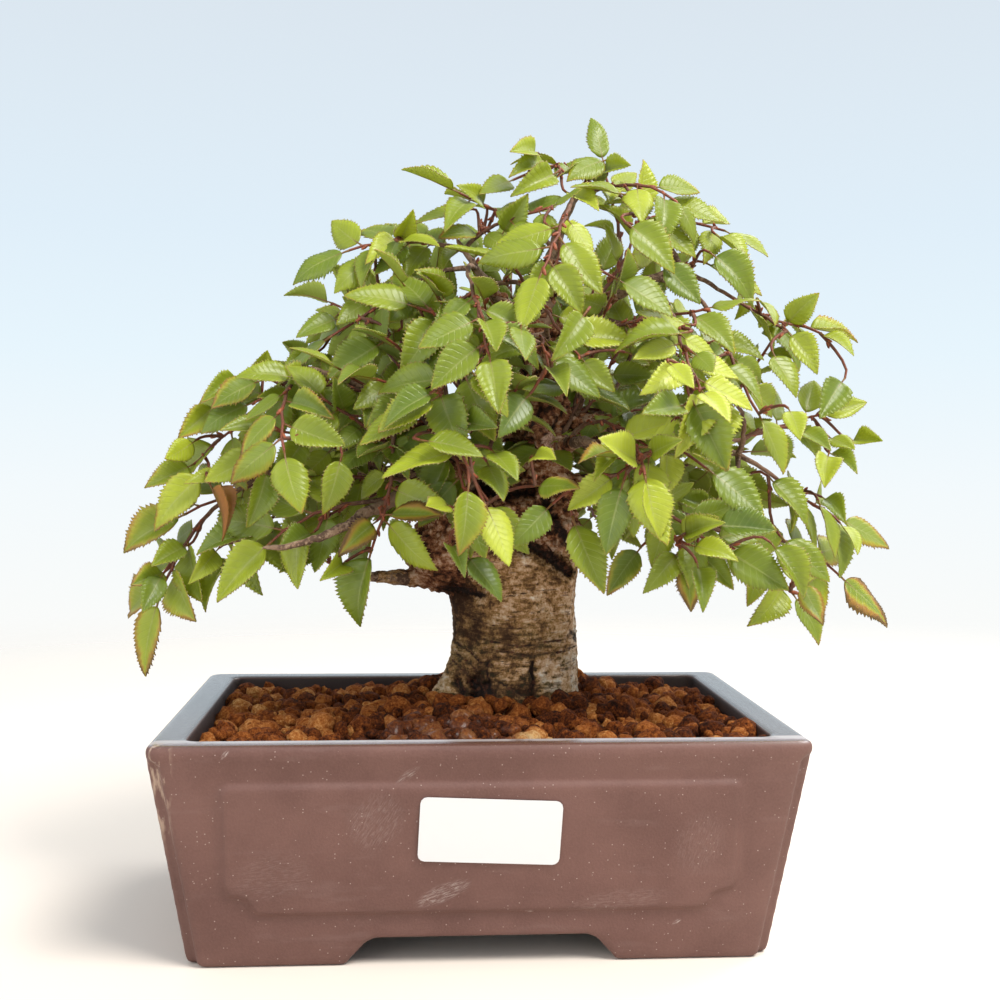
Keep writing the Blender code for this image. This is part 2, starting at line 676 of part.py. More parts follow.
class Space:
    """What has been placed so far, with a box round each thing to skip the far ones."""

    def __init__(self):
        self.things = []

    @staticmethod
    def box(points):
        low = Vector([min(p[k] for p in points) for k in range(3)])
        high = Vector([max(p[k] for p in points) for k in range(3)])
        return low, high

    def put(self, tree, points, owner=""):
        self.things.append((tree, self.box(points), owner))

    def crosses(self, tree, points, besides=()):
        low, high = self.box(points)
        for other, (other_low, other_high), owner in self.things:
            apart = any(low[k] > other_high[k] or high[k] < other_low[k] for k in range(3))
            if not apart and owner not in besides and tree.overlap(other):
                return True
        return False


def shape_tree(points, faces):
    return BVHTree.FromPolygons(points, faces)


def branch_loft(path, twig):
    """A shoot's woody part, which stops a hair short of the twig's foot."""
    total = sum((b - a).length for a, b in zip(path, path[1:]))
    top = twig + GAP
    count = 3 if total - top < 45 else 4
    lengths = [total - (total - top) * k / count for k in range(count + 1)]
    points = at_lengths(path, lengths)
    radii = [BRANCH[0] + (BRANCH[1] - BRANCH[0]) * k / count for k in range(count + 1)]
    # The last ring is square to the twig, so that its end lies flat before the twig's foot.
    points.append(at_lengths(path, [top - 0.05])[0])
    rings = tube_rings(points, [*radii, radii[-1]], 3, Vector((0.1, 0.2, 1)))
    return loft(rings[:-1])


def grow_spray(name, sprig, tip_length, space, finish):
    """One twig and its leaves, sewn into a single skin, leaf by leaf where there is room."""
    points = []
    faces = []
    rings = []
    for ring in sprig.rings(TWIG):
        rings.append(list(range(len(points), len(points) + 4)))
        points += ring
    frames = list(sprig.frames())
    faces.append(tuple(rings[0]))
    count = 0

    def try_leaf(base, along, upper, outward, number, length, base_numbers):
        """Adds a leaf on the given base if one of its draws has room."""
        for attempt in range(LEAF_TRIES):
            size, tip, edge, face = leaf_axes(along, upper, outward, name, number, attempt)
            pose = (base, tip, edge, face, length * size)
            if space.crosses(*blade_tree(*pose, BLADE + 0.7, 1.06, 0.08)):
                continue
            if space.crosses(*blade_tree(*pose, BLADE + 0.7, 1.06, 0.0), (name,)):
                continue
            top, bottom = blade_points(*pose, BLADE)
            first = len(points)
            points.extend(top + bottom)
            half = len(top)
            numbers = (list(range(first, first + half)), list(range(first + half, first + 2 * half)))
            faces.extend(blade_faces(*numbers, base_numbers))
            space.put(*blade_tree(*pose, BLADE + 0.2, 1.0, 0.0), name)
            return True
        return False

    first_side = Random(f"{name} first side").choice((0, 1))
    for k in range(sprig.leaves):
        here, after = rings[k], rings[k + 1]
        centre, along, upper, right = frames[k]
        side = (k + first_side) % 2
        # Corners of a ring: upper right, lower right, lower left, upper left.
        top_corner, low_corner = (0, 1) if side else (3, 2)
        far_top, far_low = (3, 2) if side else (0, 1)
        share = TWIG / (points[after[top_corner]] - points[here[top_corner]]).length
        edge_top = points[here[top_corner]].lerp(points[after[top_corner]], share)
        edge_low = points[here[low_corner]].lerp(points[after[low_corner]], share)
        base = (points[here[top_corner]] + points[here[low_corner]] + edge_top + edge_low) / 4
        numbers = (here[top_corner], len(points), here[low_corner], len(points) + 1)
        points.extend((edge_top, edge_low))
        length = tip_length * min(1.0, 0.75 + 0.12 * k)
        outward = right if side else -right
        grown = try_leaf(base, along, upper, outward, k, length, numbers)
        if grown:
            count += 1
            a, b = numbers[1], numbers[3]
            faces.append((a, b, after[low_corner], after[top_corner]))
            for mine, other, mine_after, other_after, new in (
                    (here[top_corner], here[far_top], after[top_corner], after[far_top], a),
                    (here[low_corner], here[far_low], after[low_corner], after[far_low], b)):
                faces.extend(((other, mine, new), (other, new, mine_after), (other, mine_after, other_after)))
        else:
            del points[-2:]
            faces.append((here[top_corner], here[low_corner], after[low_corner], after[top_corner]))
            faces.append((here[top_corner], here[far_top], after[far_top], after[top_corner]))
            faces.append((here[low_corner], here[far_low], after[far_low], after[low_corner]))
        faces.append((here[far_top], here[far_low], after[far_low], after[far_top]))
    centre, along, upper, right = frames[-1]
    last = rings[-1]
    if try_leaf(centre, along, upper, None, sprig.leaves, tip_length, (last[3], last[0], last[2], last[1])):
        count += 1
    else:
        faces.append(tuple(last))
    add_object(f"spray_{name}", points, faces, finish)
    return count


def make_tree():
    bark = material("grey_bark", (0.21, 0.165, 0.12), 0.85)
    green = material("leaf_green", (0.16, 0.30, 0.035), 0.5)
    space = Space()
    trunk_shape = loft([trunk_ring(*ring) for ring in TRUNK_RINGS])
    burl_shape = burl_points()
    pieces = {"burl": burl_shape, **{name: limb_loft(name) for name in LIMBS}}
    for points, faces in (trunk_shape, *pieces.values()):
        space.put(shape_tree(points, faces), points, "limbs")
    limbs = {name: limb_path(name) for name in LIMBS if name != "stub"}

    sprigs = {}
    for name, (end, tip) in {**SHOOTS, **back_shoots()}.items():
        end, tip = Vector(end), Vector(tip)
        heading = (tip - end).normalized()
        length = min(LONG_LEAF, max(SHORT_LEAF, (tip - end).length))
        end = tip - heading * length
        outward = (end - CROWN).normalized()
        open_side = Vector((0, -0.65 if end.y < 25 else 0.65, 0.45))
        draw = Random(f"{name} facing")
        sway = Vector([draw.uniform(-0.25, 0.25) for axis in range(3)])
        facing = across(heading, 0.7 * outward + open_side + sway)
        leaves = FRONT_LEAVES if name in SHOOTS else BACK_LEAVES
        twig_length = INTERNODE * leaves
        roots = branch_roots(end, heading, twig_length, limbs)
        for attempt in range(SHOOT_TRIES * SHOOT_LIMBS):
            path = shoot_path(name, end, heading, roots, attempt)
            sprig = Sprig(path, facing, leaves)
            twig = loft(sprig.rings(TWIG + 1.2))
            branch = branch_loft(path, twig_length)
            twig_clear = not space.crosses(shape_tree(*twig), twig[0])
            if twig_clear and not space.crosses(shape_tree(*branch), branch[0], ("limbs", "branch")):
                break
        else:
            print("no free way for", name)
        sprigs[name] = (sprig, length)
        pieces[f"branch_{name}"] = branch
        space.put(shape_tree(*branch), branch[0], "branch")
        thin = loft(sprig.rings(TWIG))
        space.put(shape_tree(*thin), thin[0], name)

    trunk = add_object("trunk", *trunk_shape, bark)
    parts = [add_object(name, *shape, bark) for name, shape in pieces.items()]
    # The exact solver leaves a sliver with no volume where limbs cross, so this union takes the other one.
    combine(trunk, parts, "UNION", "MANIFOLD")
    leaves = sum(grow_spray(name, *sprigs[name], space, green) for name in sprigs)
    print(leaves, "leaves on", len(sprigs), "sprays")


def main():
    for old in list(bpy.data.objects):
        bpy.data.objects.remove(old)
    make_pot()
    make_drain_screens()
    make_label()
    make_soil()
    make_tree()


main()
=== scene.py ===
# %% [markdown]
# # A hornbeam bonsai in its fired pot
#
# A bonsai is a real tree that is kept small by pruning and by a shallow tray of gritty soil. This lesson
# takes a plain, measured model of one, with bent plates for leaves, and gives each piece its real surface:
# toothed and pleated leaves, cracked bark, crumbly granules and fired clay.
#
# The plant's sizes are in millimetres in the pot's frame, as a grower would measure them, with zero on the
# ground under the middle of the pot. One function turns them into Blender's metres.

# %% Load the measured model
from math import asin, cos, exp, pi, radians, sin
from random import Random

import bmesh
import bpy
import numpy as np
from mathutils import Matrix, Vector
from mathutils.bvhtree import BVHTree
from mathutils.kdtree import KDTree


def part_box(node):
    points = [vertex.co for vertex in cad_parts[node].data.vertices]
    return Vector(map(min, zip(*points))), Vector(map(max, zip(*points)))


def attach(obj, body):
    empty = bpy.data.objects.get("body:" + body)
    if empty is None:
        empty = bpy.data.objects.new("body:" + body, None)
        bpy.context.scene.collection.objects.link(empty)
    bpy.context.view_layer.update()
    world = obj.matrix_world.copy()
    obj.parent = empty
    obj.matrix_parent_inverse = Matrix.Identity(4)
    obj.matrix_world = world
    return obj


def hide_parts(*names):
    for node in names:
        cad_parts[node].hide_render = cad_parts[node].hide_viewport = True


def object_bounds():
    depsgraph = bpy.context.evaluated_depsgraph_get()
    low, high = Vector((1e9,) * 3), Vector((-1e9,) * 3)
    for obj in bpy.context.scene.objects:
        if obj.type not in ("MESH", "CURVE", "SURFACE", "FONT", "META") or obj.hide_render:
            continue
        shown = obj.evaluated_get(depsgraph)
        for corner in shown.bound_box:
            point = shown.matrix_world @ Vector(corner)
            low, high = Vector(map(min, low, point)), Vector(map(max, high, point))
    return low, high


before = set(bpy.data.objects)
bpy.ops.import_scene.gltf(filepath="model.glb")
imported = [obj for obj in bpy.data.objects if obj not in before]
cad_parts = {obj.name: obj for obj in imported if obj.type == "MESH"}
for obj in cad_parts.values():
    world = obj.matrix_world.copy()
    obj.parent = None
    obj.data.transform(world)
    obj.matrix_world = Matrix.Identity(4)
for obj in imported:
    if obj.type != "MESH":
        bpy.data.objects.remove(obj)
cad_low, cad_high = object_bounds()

MILLIMETRE = 0.001
pot_low, pot_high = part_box("pot")
POT_PLACE = Vector(((pot_low.x + pot_high.x) / 2, (pot_low.y + pot_high.y) / 2, 0.0))


def in_metres(point):
    """A place in the pot's frame, in millimetres, as a place in the scene."""
    return Vector(point) * MILLIMETRE + POT_PLACE


def add_object(name, data):
    """Puts a mesh, a lamp or a camera in the scene."""
    made = bpy.data.objects.new(name, data)
    bpy.context.scene.collection.objects.link(made)
    return made


def add_shape(name, shape):
    """Puts a bmesh in the scene as a mesh object, and lets the bmesh go."""
    mesh = bpy.data.meshes.new(name)
    shape.to_mesh(mesh)
    shape.free()
    return add_object(name, mesh)


print("the model holds", len(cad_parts), "nodes, and is",
      [round(value, 3) for value in cad_high - cad_low], "m in size")

# %% [markdown]
# ## The camera
#
# The photograph was taken from less than half a metre away, a hand above the pot's rim. So near, perspective
# is strong, and the place of the eye matters more than the lens. It was worked out from the pot's corners:
# the rim and the foot are rectangles of known shape, and only one place sees them so.

# %% Camera
EYE = (-23.3, -437.9, 147.8)
LOOK_DOWN = 0.0298
LOOK_RIGHT = 0.072
LEAN = 0.007
FOCAL_PIXELS = 1321.7
PICTURE_PIXELS = 1000
SENSOR = 36.0


def camera_axes():
    """The camera's right, up and forward directions."""
    level = Vector((sin(LOOK_RIGHT), cos(LOOK_RIGHT), 0))
    right = Vector((cos(LOOK_RIGHT), -sin(LOOK_RIGHT), 0))
    forward = level * cos(LOOK_DOWN) - Vector((0, 0, sin(LOOK_DOWN)))
    up = level * sin(LOOK_DOWN) + Vector((0, 0, cos(LOOK_DOWN)))
    return right * cos(LEAN) + up * sin(LEAN), up * cos(LEAN) - right * sin(LEAN), forward


camera_data = bpy.data.cameras.new("camera")
camera_data.sensor_width = SENSOR
camera_data.lens = SENSOR * FOCAL_PIXELS / PICTURE_PIXELS
camera_data.clip_start = 0.01
camera = add_object("camera", camera_data)
right_hand, upward, forward = camera_axes()
turned = Matrix((right_hand, upward, -forward)).transposed().to_4x4()
camera.matrix_world = Matrix.Translation(in_metres(EYE)) @ turned
bpy.context.scene.camera = camera
print("lens", round(camera_data.lens, 1), "mm")

# %% [markdown]
# ## Sums on sockets
#
# A material is a small calculation that runs at every point of a surface. Wiring it by hand takes a dozen
# lines a sum, so one class wraps a socket and lets Python's operators add the Math nodes, and another adds
# any other node from its type, its settings and its inputs. Both serve the geometry trees too, because
# both kinds of tree share their Math nodes.

# %% Wires and graphs
def operator(operation):
    """What one of Python's operators does on a wire: it adds a Math node."""
    return lambda wire, other: wire.sum(operation, other)


class Wire:
    """A number or colour that runs through a node tree. Operators on it add Math nodes."""

    def __init__(self, graph, socket):
        self.graph = graph
        self.socket = socket

    def sum(self, operation, *others):
        inputs = dict(enumerate((self, *others)))
        return self.graph.node("ShaderNodeMath", {"operation": operation}, inputs)[0]

    __add__ = __radd__ = operator("ADD")
    __mul__ = __rmul__ = operator("MULTIPLY")
    __sub__ = operator("SUBTRACT")
    __truediv__ = operator("DIVIDE")
    __pow__ = operator("POWER")

    def __rsub__(self, other):
        return self.sum("MULTIPLY_ADD", -1.0, other)

    def __abs__(self):
        return self.sum("ABSOLUTE")

    def between(self, low, high):
        """A soft step from 0 at low to 1 at high, which may be the smaller."""
        inputs = {"Value": self, "From Min": low, "From Max": high}
        return self.graph.node("ShaderNodeMapRange", {"interpolation_type": "SMOOTHSTEP"}, inputs)[0]


class Made:
    """A node that was added, whose outputs are read as wires."""

    def __init__(self, graph, node):
        self.graph = graph
        self.node = node

    def __getitem__(self, output):
        return Wire(self.graph, self.node.outputs[output])


class Graph:
    """A node tree that is built in the order in which its values are worked out."""

    def __init__(self, tree):
        self.tree = tree

    def node(self, kind, settings=None, inputs=None):
        """Adds any node, from its type, its settings and its inputs."""
        node = self.tree.nodes.new(kind)
        for name, value in (settings or {}).items():
            if name == "stops":
                self.set_stops(node.color_ramp.elements, value)
            else:
                setattr(node, name, value)
        for name, value in (inputs or {}).items():
            if isinstance(value, Wire):
                self.tree.links.new(value.socket, node.inputs[name])
            else:
                node.inputs[name].default_value = value
        return Made(self, node)

    @staticmethod
    def set_stops(elements, stops):
        while len(elements) < len(stops):
            elements.new(0.5)
        for element, (place, colour) in zip(elements, stops):
            element.position = place
            element.color = (*colour, 1.0)

    def ramp(self, value, *stops):
        """A colour for each value, blended between stops."""
        return self.node("ShaderNodeValToRGB", {"stops": stops}, {"Fac": value})["Color"]

    def mix(self, share, first, second):
        """The first colour where the share is 0, and the second where it is 1."""
        a, b = [(*c, 1.0) if isinstance(c, tuple) else c for c in (first, second)]
        return self.node("ShaderNodeMix", {"data_type": "RGBA"}, {0: share, 6: a, 7: b})[2]

    def scaled(self, vector, by):
        """A vector made longer by a number that may vary."""
        return self.node("ShaderNodeVectorMath", {"operation": "SCALE"}, {0: vector, "Scale": by})[0]

    def join(self, x=0.0, y=0.0, z=0.0):
        return self.node("ShaderNodeCombineXYZ", {}, {0: x, 1: y, 2: z})[0]

    def split(self, vector):
        return self.node("ShaderNodeSeparateXYZ", {}, {0: vector})

    def noise(self, where, scale, detail=3.0, roughness=0.55, distortion=0.0):
        inputs = {"Vector": where, "Scale": scale, "Detail": detail, "Roughness": roughness,
                  "Distortion": distortion}
        return self.node("ShaderNodeTexNoise", {}, inputs)["Fac"]

    def cells(self, where, scale):
        """A pattern of cells, each round a point of its own."""
        return self.node("ShaderNodeTexVoronoi", {}, {"Vector": where, "Scale": scale})


class Finish(Graph):
    """A material whose surface is one Principled shader."""

    def __init__(self, name):
        self.material = bpy.data.materials.new(name)
        self.material.use_nodes = True
        super().__init__(self.material.node_tree)
        self.shader = Made(self, self.tree.nodes["Principled BSDF"])
        self.here = self.node("ShaderNodeTexCoord")["Object"]

    def attribute(self, name):
        return self.node("ShaderNodeAttribute", {"attribute_name": name})["Fac"]

    def stretched(self, scale, move=(0, 0, 0)):
        """The place on the piece, stretched and moved."""
        return self.node("ShaderNodeMapping", {}, {"Vector": self.here, "Scale": scale, "Location": move})[0]

    def grain(self, scale, detail=3.0, roughness=0.55):
        """A noise over the piece."""
        return self.noise(self.here, scale, detail, roughness)

    def streaks(self, scale, detail=3.0, roughness=0.55, distortion=0.0):
        """A noise over the piece, longer one way than another."""
        return self.noise(self.stretched(scale), 1.0, detail, roughness, distortion)

    def layers(self, colour, *coats):
        """Lays coats over a colour, each given as its share and its own colour."""
        for share, tint in coats:
            colour = self.mix(share, colour, tint)
        return colour

    def axes(self):
        """The place on the piece as three wires, in millimetres in the pot's frame."""
        scale = 1 / MILLIMETRE
        move = tuple(-value * scale for value in POT_PLACE)
        split = self.split(self.stretched((scale,) * 3, move))
        return split[0], split[1], split[2]

    def set(self, **inputs):
        """Sets or wires the shader's sockets, with underscores for spaces."""
        for name, value in inputs.items():
            socket = self.shader.node.inputs[name.replace("_", " ")]
            if isinstance(value, Wire):
                self.tree.links.new(value.socket, socket)
            else:
                socket.default_value = (*value, 1.0) if isinstance(value, tuple) else value

    def bump(self, height, distance, strength=1.0):
        """Lets a height in the range 0 to 1 stand out by a distance in metres."""
        inputs = {"Height": height, "Distance": distance, "Strength": strength}
        return self.node("ShaderNodeBump", {}, inputs)["Normal"]


print("helpers for materials and geometry trees are ready")

# %% [markdown]
# ## A bright, soft studio
#
# A disc of pale floor fades out at its rim into a sky of the same tone, so that no horizon shows. The sky is
# palest near the floor and dimmer overhead. The strongest lamp, at the upper right front, gives the leaves
# their sheen. A weak one softens the shade on the left, and one from behind lights the leaves through.

# %% Floor, sky and lamps
FLOOR_RADIUS = 0.9
FLOOR_COLOUR = (0.8, 0.715, 0.63)
LAMP_AIM = 0.13
SKY = ((0.3, (0.95, 0.92, 0.87)), (0.44, (0.96, 0.97, 0.955)), (0.49, (0.9, 0.955, 0.98)),
       (0.54, (0.8, 0.915, 0.985)), (0.585, (0.745, 0.86, 0.95)), (0.63, (0.725, 0.82, 0.9)),
       (0.68, (0.7, 0.775, 0.85)), (0.8, (0.56, 0.63, 0.7)))


def make_floor():
    shape = bmesh.new()
    bmesh.ops.create_circle(shape, cap_ends=True, radius=FLOOR_RADIUS, segments=96)
    floor = add_shape("floor", shape)
    finish = Finish("pale_floor")
    length = finish.node("ShaderNodeVectorMath", {"operation": "LENGTH"}, {0: finish.here})["Value"]
    finish.set(Base_Color=FLOOR_COLOUR, Roughness=0.7)
    finish.set(Alpha=length.between(FLOOR_RADIUS, 0.35 * FLOOR_RADIUS))
    floor.data.materials.append(finish.material)


def make_sky():
    world = bpy.data.worlds.new("sky")
    bpy.context.scene.world = world
    world.use_nodes = True
    graph = Graph(world.node_tree)
    way = graph.node("ShaderNodeTexCoord")["Generated"]
    height = graph.split(way)[2]
    colour = graph.ramp(height * 0.5 + 0.5, *SKY)
    background = world.node_tree.nodes["Background"]
    world.node_tree.links.new(colour.socket, background.inputs["Color"])


def make_lamp(name, place, size, power, colour):
    lamp = bpy.data.lights.new(name, "AREA")
    lamp.size = size
    lamp.energy = power
    lamp.color = colour
    made = add_object(name, lamp)
    made.location = place
    made.rotation_euler = (Vector((0, 0, LAMP_AIM)) - Vector(place)).to_track_quat("-Z", "Y").to_euler()


make_floor()
make_sky()
make_lamp("key", (0.48, -0.55, 1.0), 0.5, 17.0, (1.0, 0.97, 0.92))
make_lamp("fill", (-0.8, -0.6, 0.55), 0.9, 5.0, (1.0, 0.98, 0.95))
make_lamp("back", (0.65, 0.5, 0.95), 0.8, 9.5, (1.0, 0.99, 0.97))
bpy.context.scene.view_settings.view_transform = "Standard"
print("the studio has a floor, a sky and three lamps")


# %% [markdown]
# ## Growing pieces with Geometry Nodes
#
# Leaves, twigs and granules repeat by the hundred, and each follows a rule. Geometry Nodes lay such a rule
# over a simple carrier, such as one point for each leaf. The tree's sizes are named inputs, to be tried by
# hand in Blender, and its result is turned into a plain mesh at the end.

# %% Geometry trees
class Grower(Graph):
    """A Geometry Nodes tree that turns a carrier mesh into a finished piece."""

    SOCKETS = {float: "NodeSocketFloat", int: "NodeSocketInt"}

    def __init__(self, name, finish, **sizes):
        super().__init__(bpy.data.node_groups.new(name, "GeometryNodeTree"))
        self.finish = finish
        self.sizes = sizes
        self.sockets = {}
        face = self.tree.interface
        face.new_socket("Carrier", in_out="INPUT", socket_type="NodeSocketGeometry")
        face.new_socket("Piece", in_out="OUTPUT", socket_type="NodeSocketGeometry")
        for size, value in sizes.items():
            socket = face.new_socket(size, in_out="INPUT", socket_type=self.SOCKETS[type(value)])
            socket.default_value = value
            self.sockets[size] = socket.identifier
        self.given = self.node("NodeGroupInput")

    def named(self, name, kind="FLOAT"):
        """An attribute of the carrier, read by its name."""
        return self.node("GeometryNodeInputNamedAttribute", {"data_type": kind}, {"Name": name})["Attribute"]

    def random(self, low, high, seed):
        """A number for each point, or three where the limits are vectors."""
        three = isinstance(high, tuple)
        kind, first = ("FLOAT_VECTOR", 0) if three else ("FLOAT", 2)
        inputs = {first: low, first + 1: high, "Seed": seed}
        return self.node("FunctionNodeRandomValue", {"data_type": kind}, inputs)[0 if three else 1]

    def done(self, kind, geometry, settings=None, **inputs):
        """Adds a node that works on a geometry, and gives what comes out of it."""
        inputs = {name.replace("_", " "): value for name, value in inputs.items()}
        return self.node("GeometryNode" + kind, settings, {"Geometry": geometry, **inputs})["Geometry"]

    def pushed(self, geometry, height):
        """Moves each point of a geometry out along its normal."""
        normal = self.node("GeometryNodeInputNormal")[0]
        return self.done("SetPosition", geometry, Offset=self.scaled(normal, height))

    def end(self, geometry):
        """Closes the tree with real geometry that wears the piece's material."""
        smooth = self.done("SetShadeSmooth", self.done("RealizeInstances", geometry))
        worn = self.done("SetMaterial", smooth, Material=self.finish.material)
        self.node("NodeGroupOutput", {}, {"Piece": worn})

    def grow(self, carrier, name, **sizes):
        """Runs the tree on a carrier, and puts the plain mesh in its place."""
        carrier.name = name + "_carrier"
        step = carrier.modifiers.new(name, "NODES")
        step.node_group = self.tree
        for size, value in {**self.sizes, **sizes}.items():
            step[self.sockets[size]] = value
        piece = plain_copy(carrier, name)
        bpy.data.objects.remove(carrier)
        return piece


def plain_copy(made, name):
    """A new object with the mesh that an object's modifiers give, and no modifiers."""
    graph = bpy.context.evaluated_depsgraph_get()
    mesh = bpy.data.meshes.new_from_object(made.evaluated_get(graph), preserve_all_data_layers=True,
                                           depsgraph=graph)
    mesh.name = name
    return add_object(name, mesh)


def mesh_object(name, points, edges=(), faces=(), **attributes):
    """A mesh object, with a list of numbers or turns as an attribute of its points."""
    mesh = bpy.data.meshes.new(name)
    mesh.from_pydata(points, edges, faces)
    for attribute, values in attributes.items():
        kind = {float: "FLOAT", int: "INT"}.get(type(values[0]), "QUATERNION")
        flat = [part for value in values for part in value] if kind == "QUATERNION" else values
        mesh.attributes.new(attribute, kind, "POINT").data.foreach_set("value", flat)
    return add_object(name, mesh)


def triangles(piece):
    return sum(len(face.vertices) - 2 for face in piece.data.polygons)


print("geometry trees can be grown")

# %% [markdown]
# ## The tree's skeleton
#
# The measured model grew its tree from two lists: the places that each limb passes through, and where each
# leafy shoot ends. The lists and the rules are repeated here, because the fine leaves have to stand exactly
# where the measured ones stand.

# %% Where the limbs and the shoots run, in millimetres
TRUNK = Vector((14.0, 15.0, 0.0))
ROOTS = ((192, 10.0), (248, 3.5), (322, 3.0), (48, 6.0), (128, 5.0))
TRUNK_RINGS = (
    (36, 14, 15, 12, 11), (50, 14, 15, 20, 18), (60, 13.5, 15, 23, 21), (66, 13.5, 15, 22.5, 21),
    (73, 14, 15, 21.8, 20.5), (84, 14.5, 15, 21.3, 20), (95, 14.3, 15, 21, 20), (104, 13.5, 15, 22, 20.5),
    (111, 11, 15, 26, 21), (119, 8.5, 15, 28.5, 21.5), (127, 8, 15, 26.5, 20), (135, 8, 15.5, 22.5, 18),
    (142, 9, 16, 17, 14), (146, 10, 16.5, 10, 8),
)
BURL = Vector((-8.0, 13.0, 116.0))
BURL_SIZE = Vector((15.0, 15.0, 14.0))
CROWN = Vector((15.0, 12.0, 150.0))
TWIG = 1.4
INTERNODE = 5.2
FRONT_LEAVES = 5
BACK_LEAVES = 6
SHORT_LEAF = 17.0
LONG_LEAF = 25.0
BLADE = 0.75
LEAF_ARCH = 0.09
LEAF_TRIES = 30
SHOOT_TRIES = 8
SHOOT_LIMBS = 4
# Each limb: its radius at its foot and at its end, and the places that it passes through.
LIMBS = {
    "upper_trunk": (14.0, 7.6, ((20, 16, 116), (22, 16, 132), (24, 15, 150), (24, 14, 166), (22, 13, 180))),
    "leader": (6.0, 1.7, (
        (23, 13, 172), (23, 12, 186), (24, 10, 203), (27, 10, 219), (31, 10, 231), (36, 10, 241))),
    "low_left": (3.2, 1.6, ((-6, 12, 109), (-20, 9, 108), (-33, 3, 109), (-46, -5, 112))),
    "long_left": (3.6, 1.4, (
        (-2, 6, 140), (-12, -6, 143), (-26, -16, 136), (-41, -30, 128), (-54, -36, 123), (-64, -38, 121))),
    "left_mid": (3.8, 1.4, (
        (2, 15, 134), (-14, 14, 140), (-33, 10, 144), (-53, 5, 145), (-73, 0, 142))),
    "left_back": (3.6, 1.4, ((8, 20, 140), (-6, 30, 149), (-32, 44, 158), (-62, 54, 163))),
    "left_upper": (3.6, 1.4, ((20, 14, 158), (2, 12, 160), (-18, 5, 165), (-40, 0, 173), (-56, -4, 178))),
    "front_left": (3.4, 1.4, ((6, 8, 142), (0, -8, 149), (-8, -28, 153), (-14, -42, 156))),
    "front_right": (3.4, 1.4, ((26, 10, 150), (29, -8, 153), (33, -28, 154), (37, -44, 151))),
    "right_mid": (4.2, 1.5, ((24, 15, 157), (44, 7, 161), (64, 0, 160), (80, -4, 153), (90, -6, 149))),
    "right_back": (3.8, 1.4, ((24, 20, 156), (42, 34, 162), (64, 48, 169), (92, 54, 172))),
    "right_low": (3.8, 1.4, ((22, 15, 136), (40, 11, 140), (56, 5, 134), (74, -2, 128), (86, -5, 125))),
    "upper_left": (3.6, 1.3, ((23, 12, 188), (12, 5, 197), (2, 0, 208), (-6, 0, 220))),
    "upper_right": (3.6, 1.3, ((24, 12, 190), (40, 6, 200), (58, 1, 209), (72, 0, 213))),
    "upper_front": (3.2, 1.3, ((24, 13, 172), (23, -4, 182), (21, -20, 190))),
    "back_high": (3.6, 1.4, ((22, 16, 162), (23, 32, 172), (24, 48, 182), (24, 58, 188))),
    "back_low": (3.6, 1.4, ((16, 20, 140), (18, 36, 148), (20, 52, 152), (20, 62, 152))),
    "stub": (2.7, 2.3, ((21, 12, 159), (19, 3, 158), (24, -3, 154))),
}
# Each measured shoot: where its twig ends, and the tip of the leaf beyond.
SHOOTS = {
    "crown_tip": ((43, 10, 250), (40, 9, 265)),
    "crown_left": ((28, 5, 247), (13, 3, 251)),
    "crown_right": ((55, 2, 231), (56, 0, 248)),
    "apex_front": ((24, -18, 229), (38, -25, 232)),
    "high_left": ((-6, -6, 235), (-24, -10, 242)),
    "shoulder_left": ((-42, 2, 217), (-61, 0, 209)),
    "shoulder_inner": ((-25, 8, 222), (-41, 10, 225)),
    "upper_left": ((-47, -2, 188), (-68, -5, 176)),
    "mid_left_far": ((-72, -6, 166), (-90, -10, 157)),
    "mid_left": ((-84, 2, 154), (-103, 0, 138)),
    "low_left_far": ((-95, 2, 130), (-115, 0, 118)),
    "droop_left": ((-102, -2, 103), (-111, -5, 79)),
    "low_left_mid": ((-78, -10, 117), (-94, -15, 103)),
    "low_left_inner": ((-64, -24, 122), (-82, -30, 107)),
    "hang_left": ((-36, -28, 120), (-39, -35, 96)),
    "front_left_low": ((-59, -40, 150), (-56, -50, 133)),
    "front_left_mid": ((-17, -45, 167), (-36, -55, 153)),
    "front_left_high": ((-20, -24, 195), (-40, -30, 204)),
    "front_middle": ((1, -58, 178), (3, -70, 162)),
    "front_high": ((17, -45, 204), (9, -55, 186)),
    "front_mid_low": ((19, -49, 176), (21, -60, 160)),
    "before_trunk_left": ((-5, -28, 139), (-3, -35, 118)),
    "before_trunk_right": ((5, -32, 135), (10, -40, 115)),
    "front_mid_right": ((27, -40, 178), (45, -50, 167)),
    "bright_left": ((60, -53, 169), (41, -65, 165)),
    "bright_right": ((63, -56, 169), (68, -68, 153)),
    "bright_low_left": ((39, -50, 144), (22, -60, 129)),
    "bright_low_right": ((47, -53, 146), (43, -65, 124)),
    "front_right_low": ((52, -40, 150), (70, -50, 138)),
    "under_right": ((62, -32, 120), (51, -40, 109)),
    "under_right_far": ((75, -36, 121), (93, -45, 111)),
    "low_right_inner": ((103, -15, 105), (112, -20, 90)),
    "low_right_far": ((123, 2, 111), (141, 0, 92)),
    "far_right": ((125, 6, 129), (145, 5, 120)),
    "mid_right_front": ((86, -28, 162), (98, -35, 147)),
    "edge_right": ((118, 4, 164), (133, 0, 169)),
    "upper_right_far": ((112, 6, 194), (132, 5, 193)),
    "upper_right_tip": ((104, 6, 193), (114, 0, 206)),
    "shoulder_right": ((71, -24, 196), (90, -30, 200)),
    "shoulder_right_high": ((82, 2, 229), (96, 0, 217)),
    "high_right_front": ((63, -15, 232), (76, -20, 219)),
    "mid_right": ((78, -6, 187), (95, -10, 185)),
}
BACK_SHOOTS = 12
BACK_DOME = Vector((112.0, 88.0, 98.0))
BACK_LOWEST = -24.0
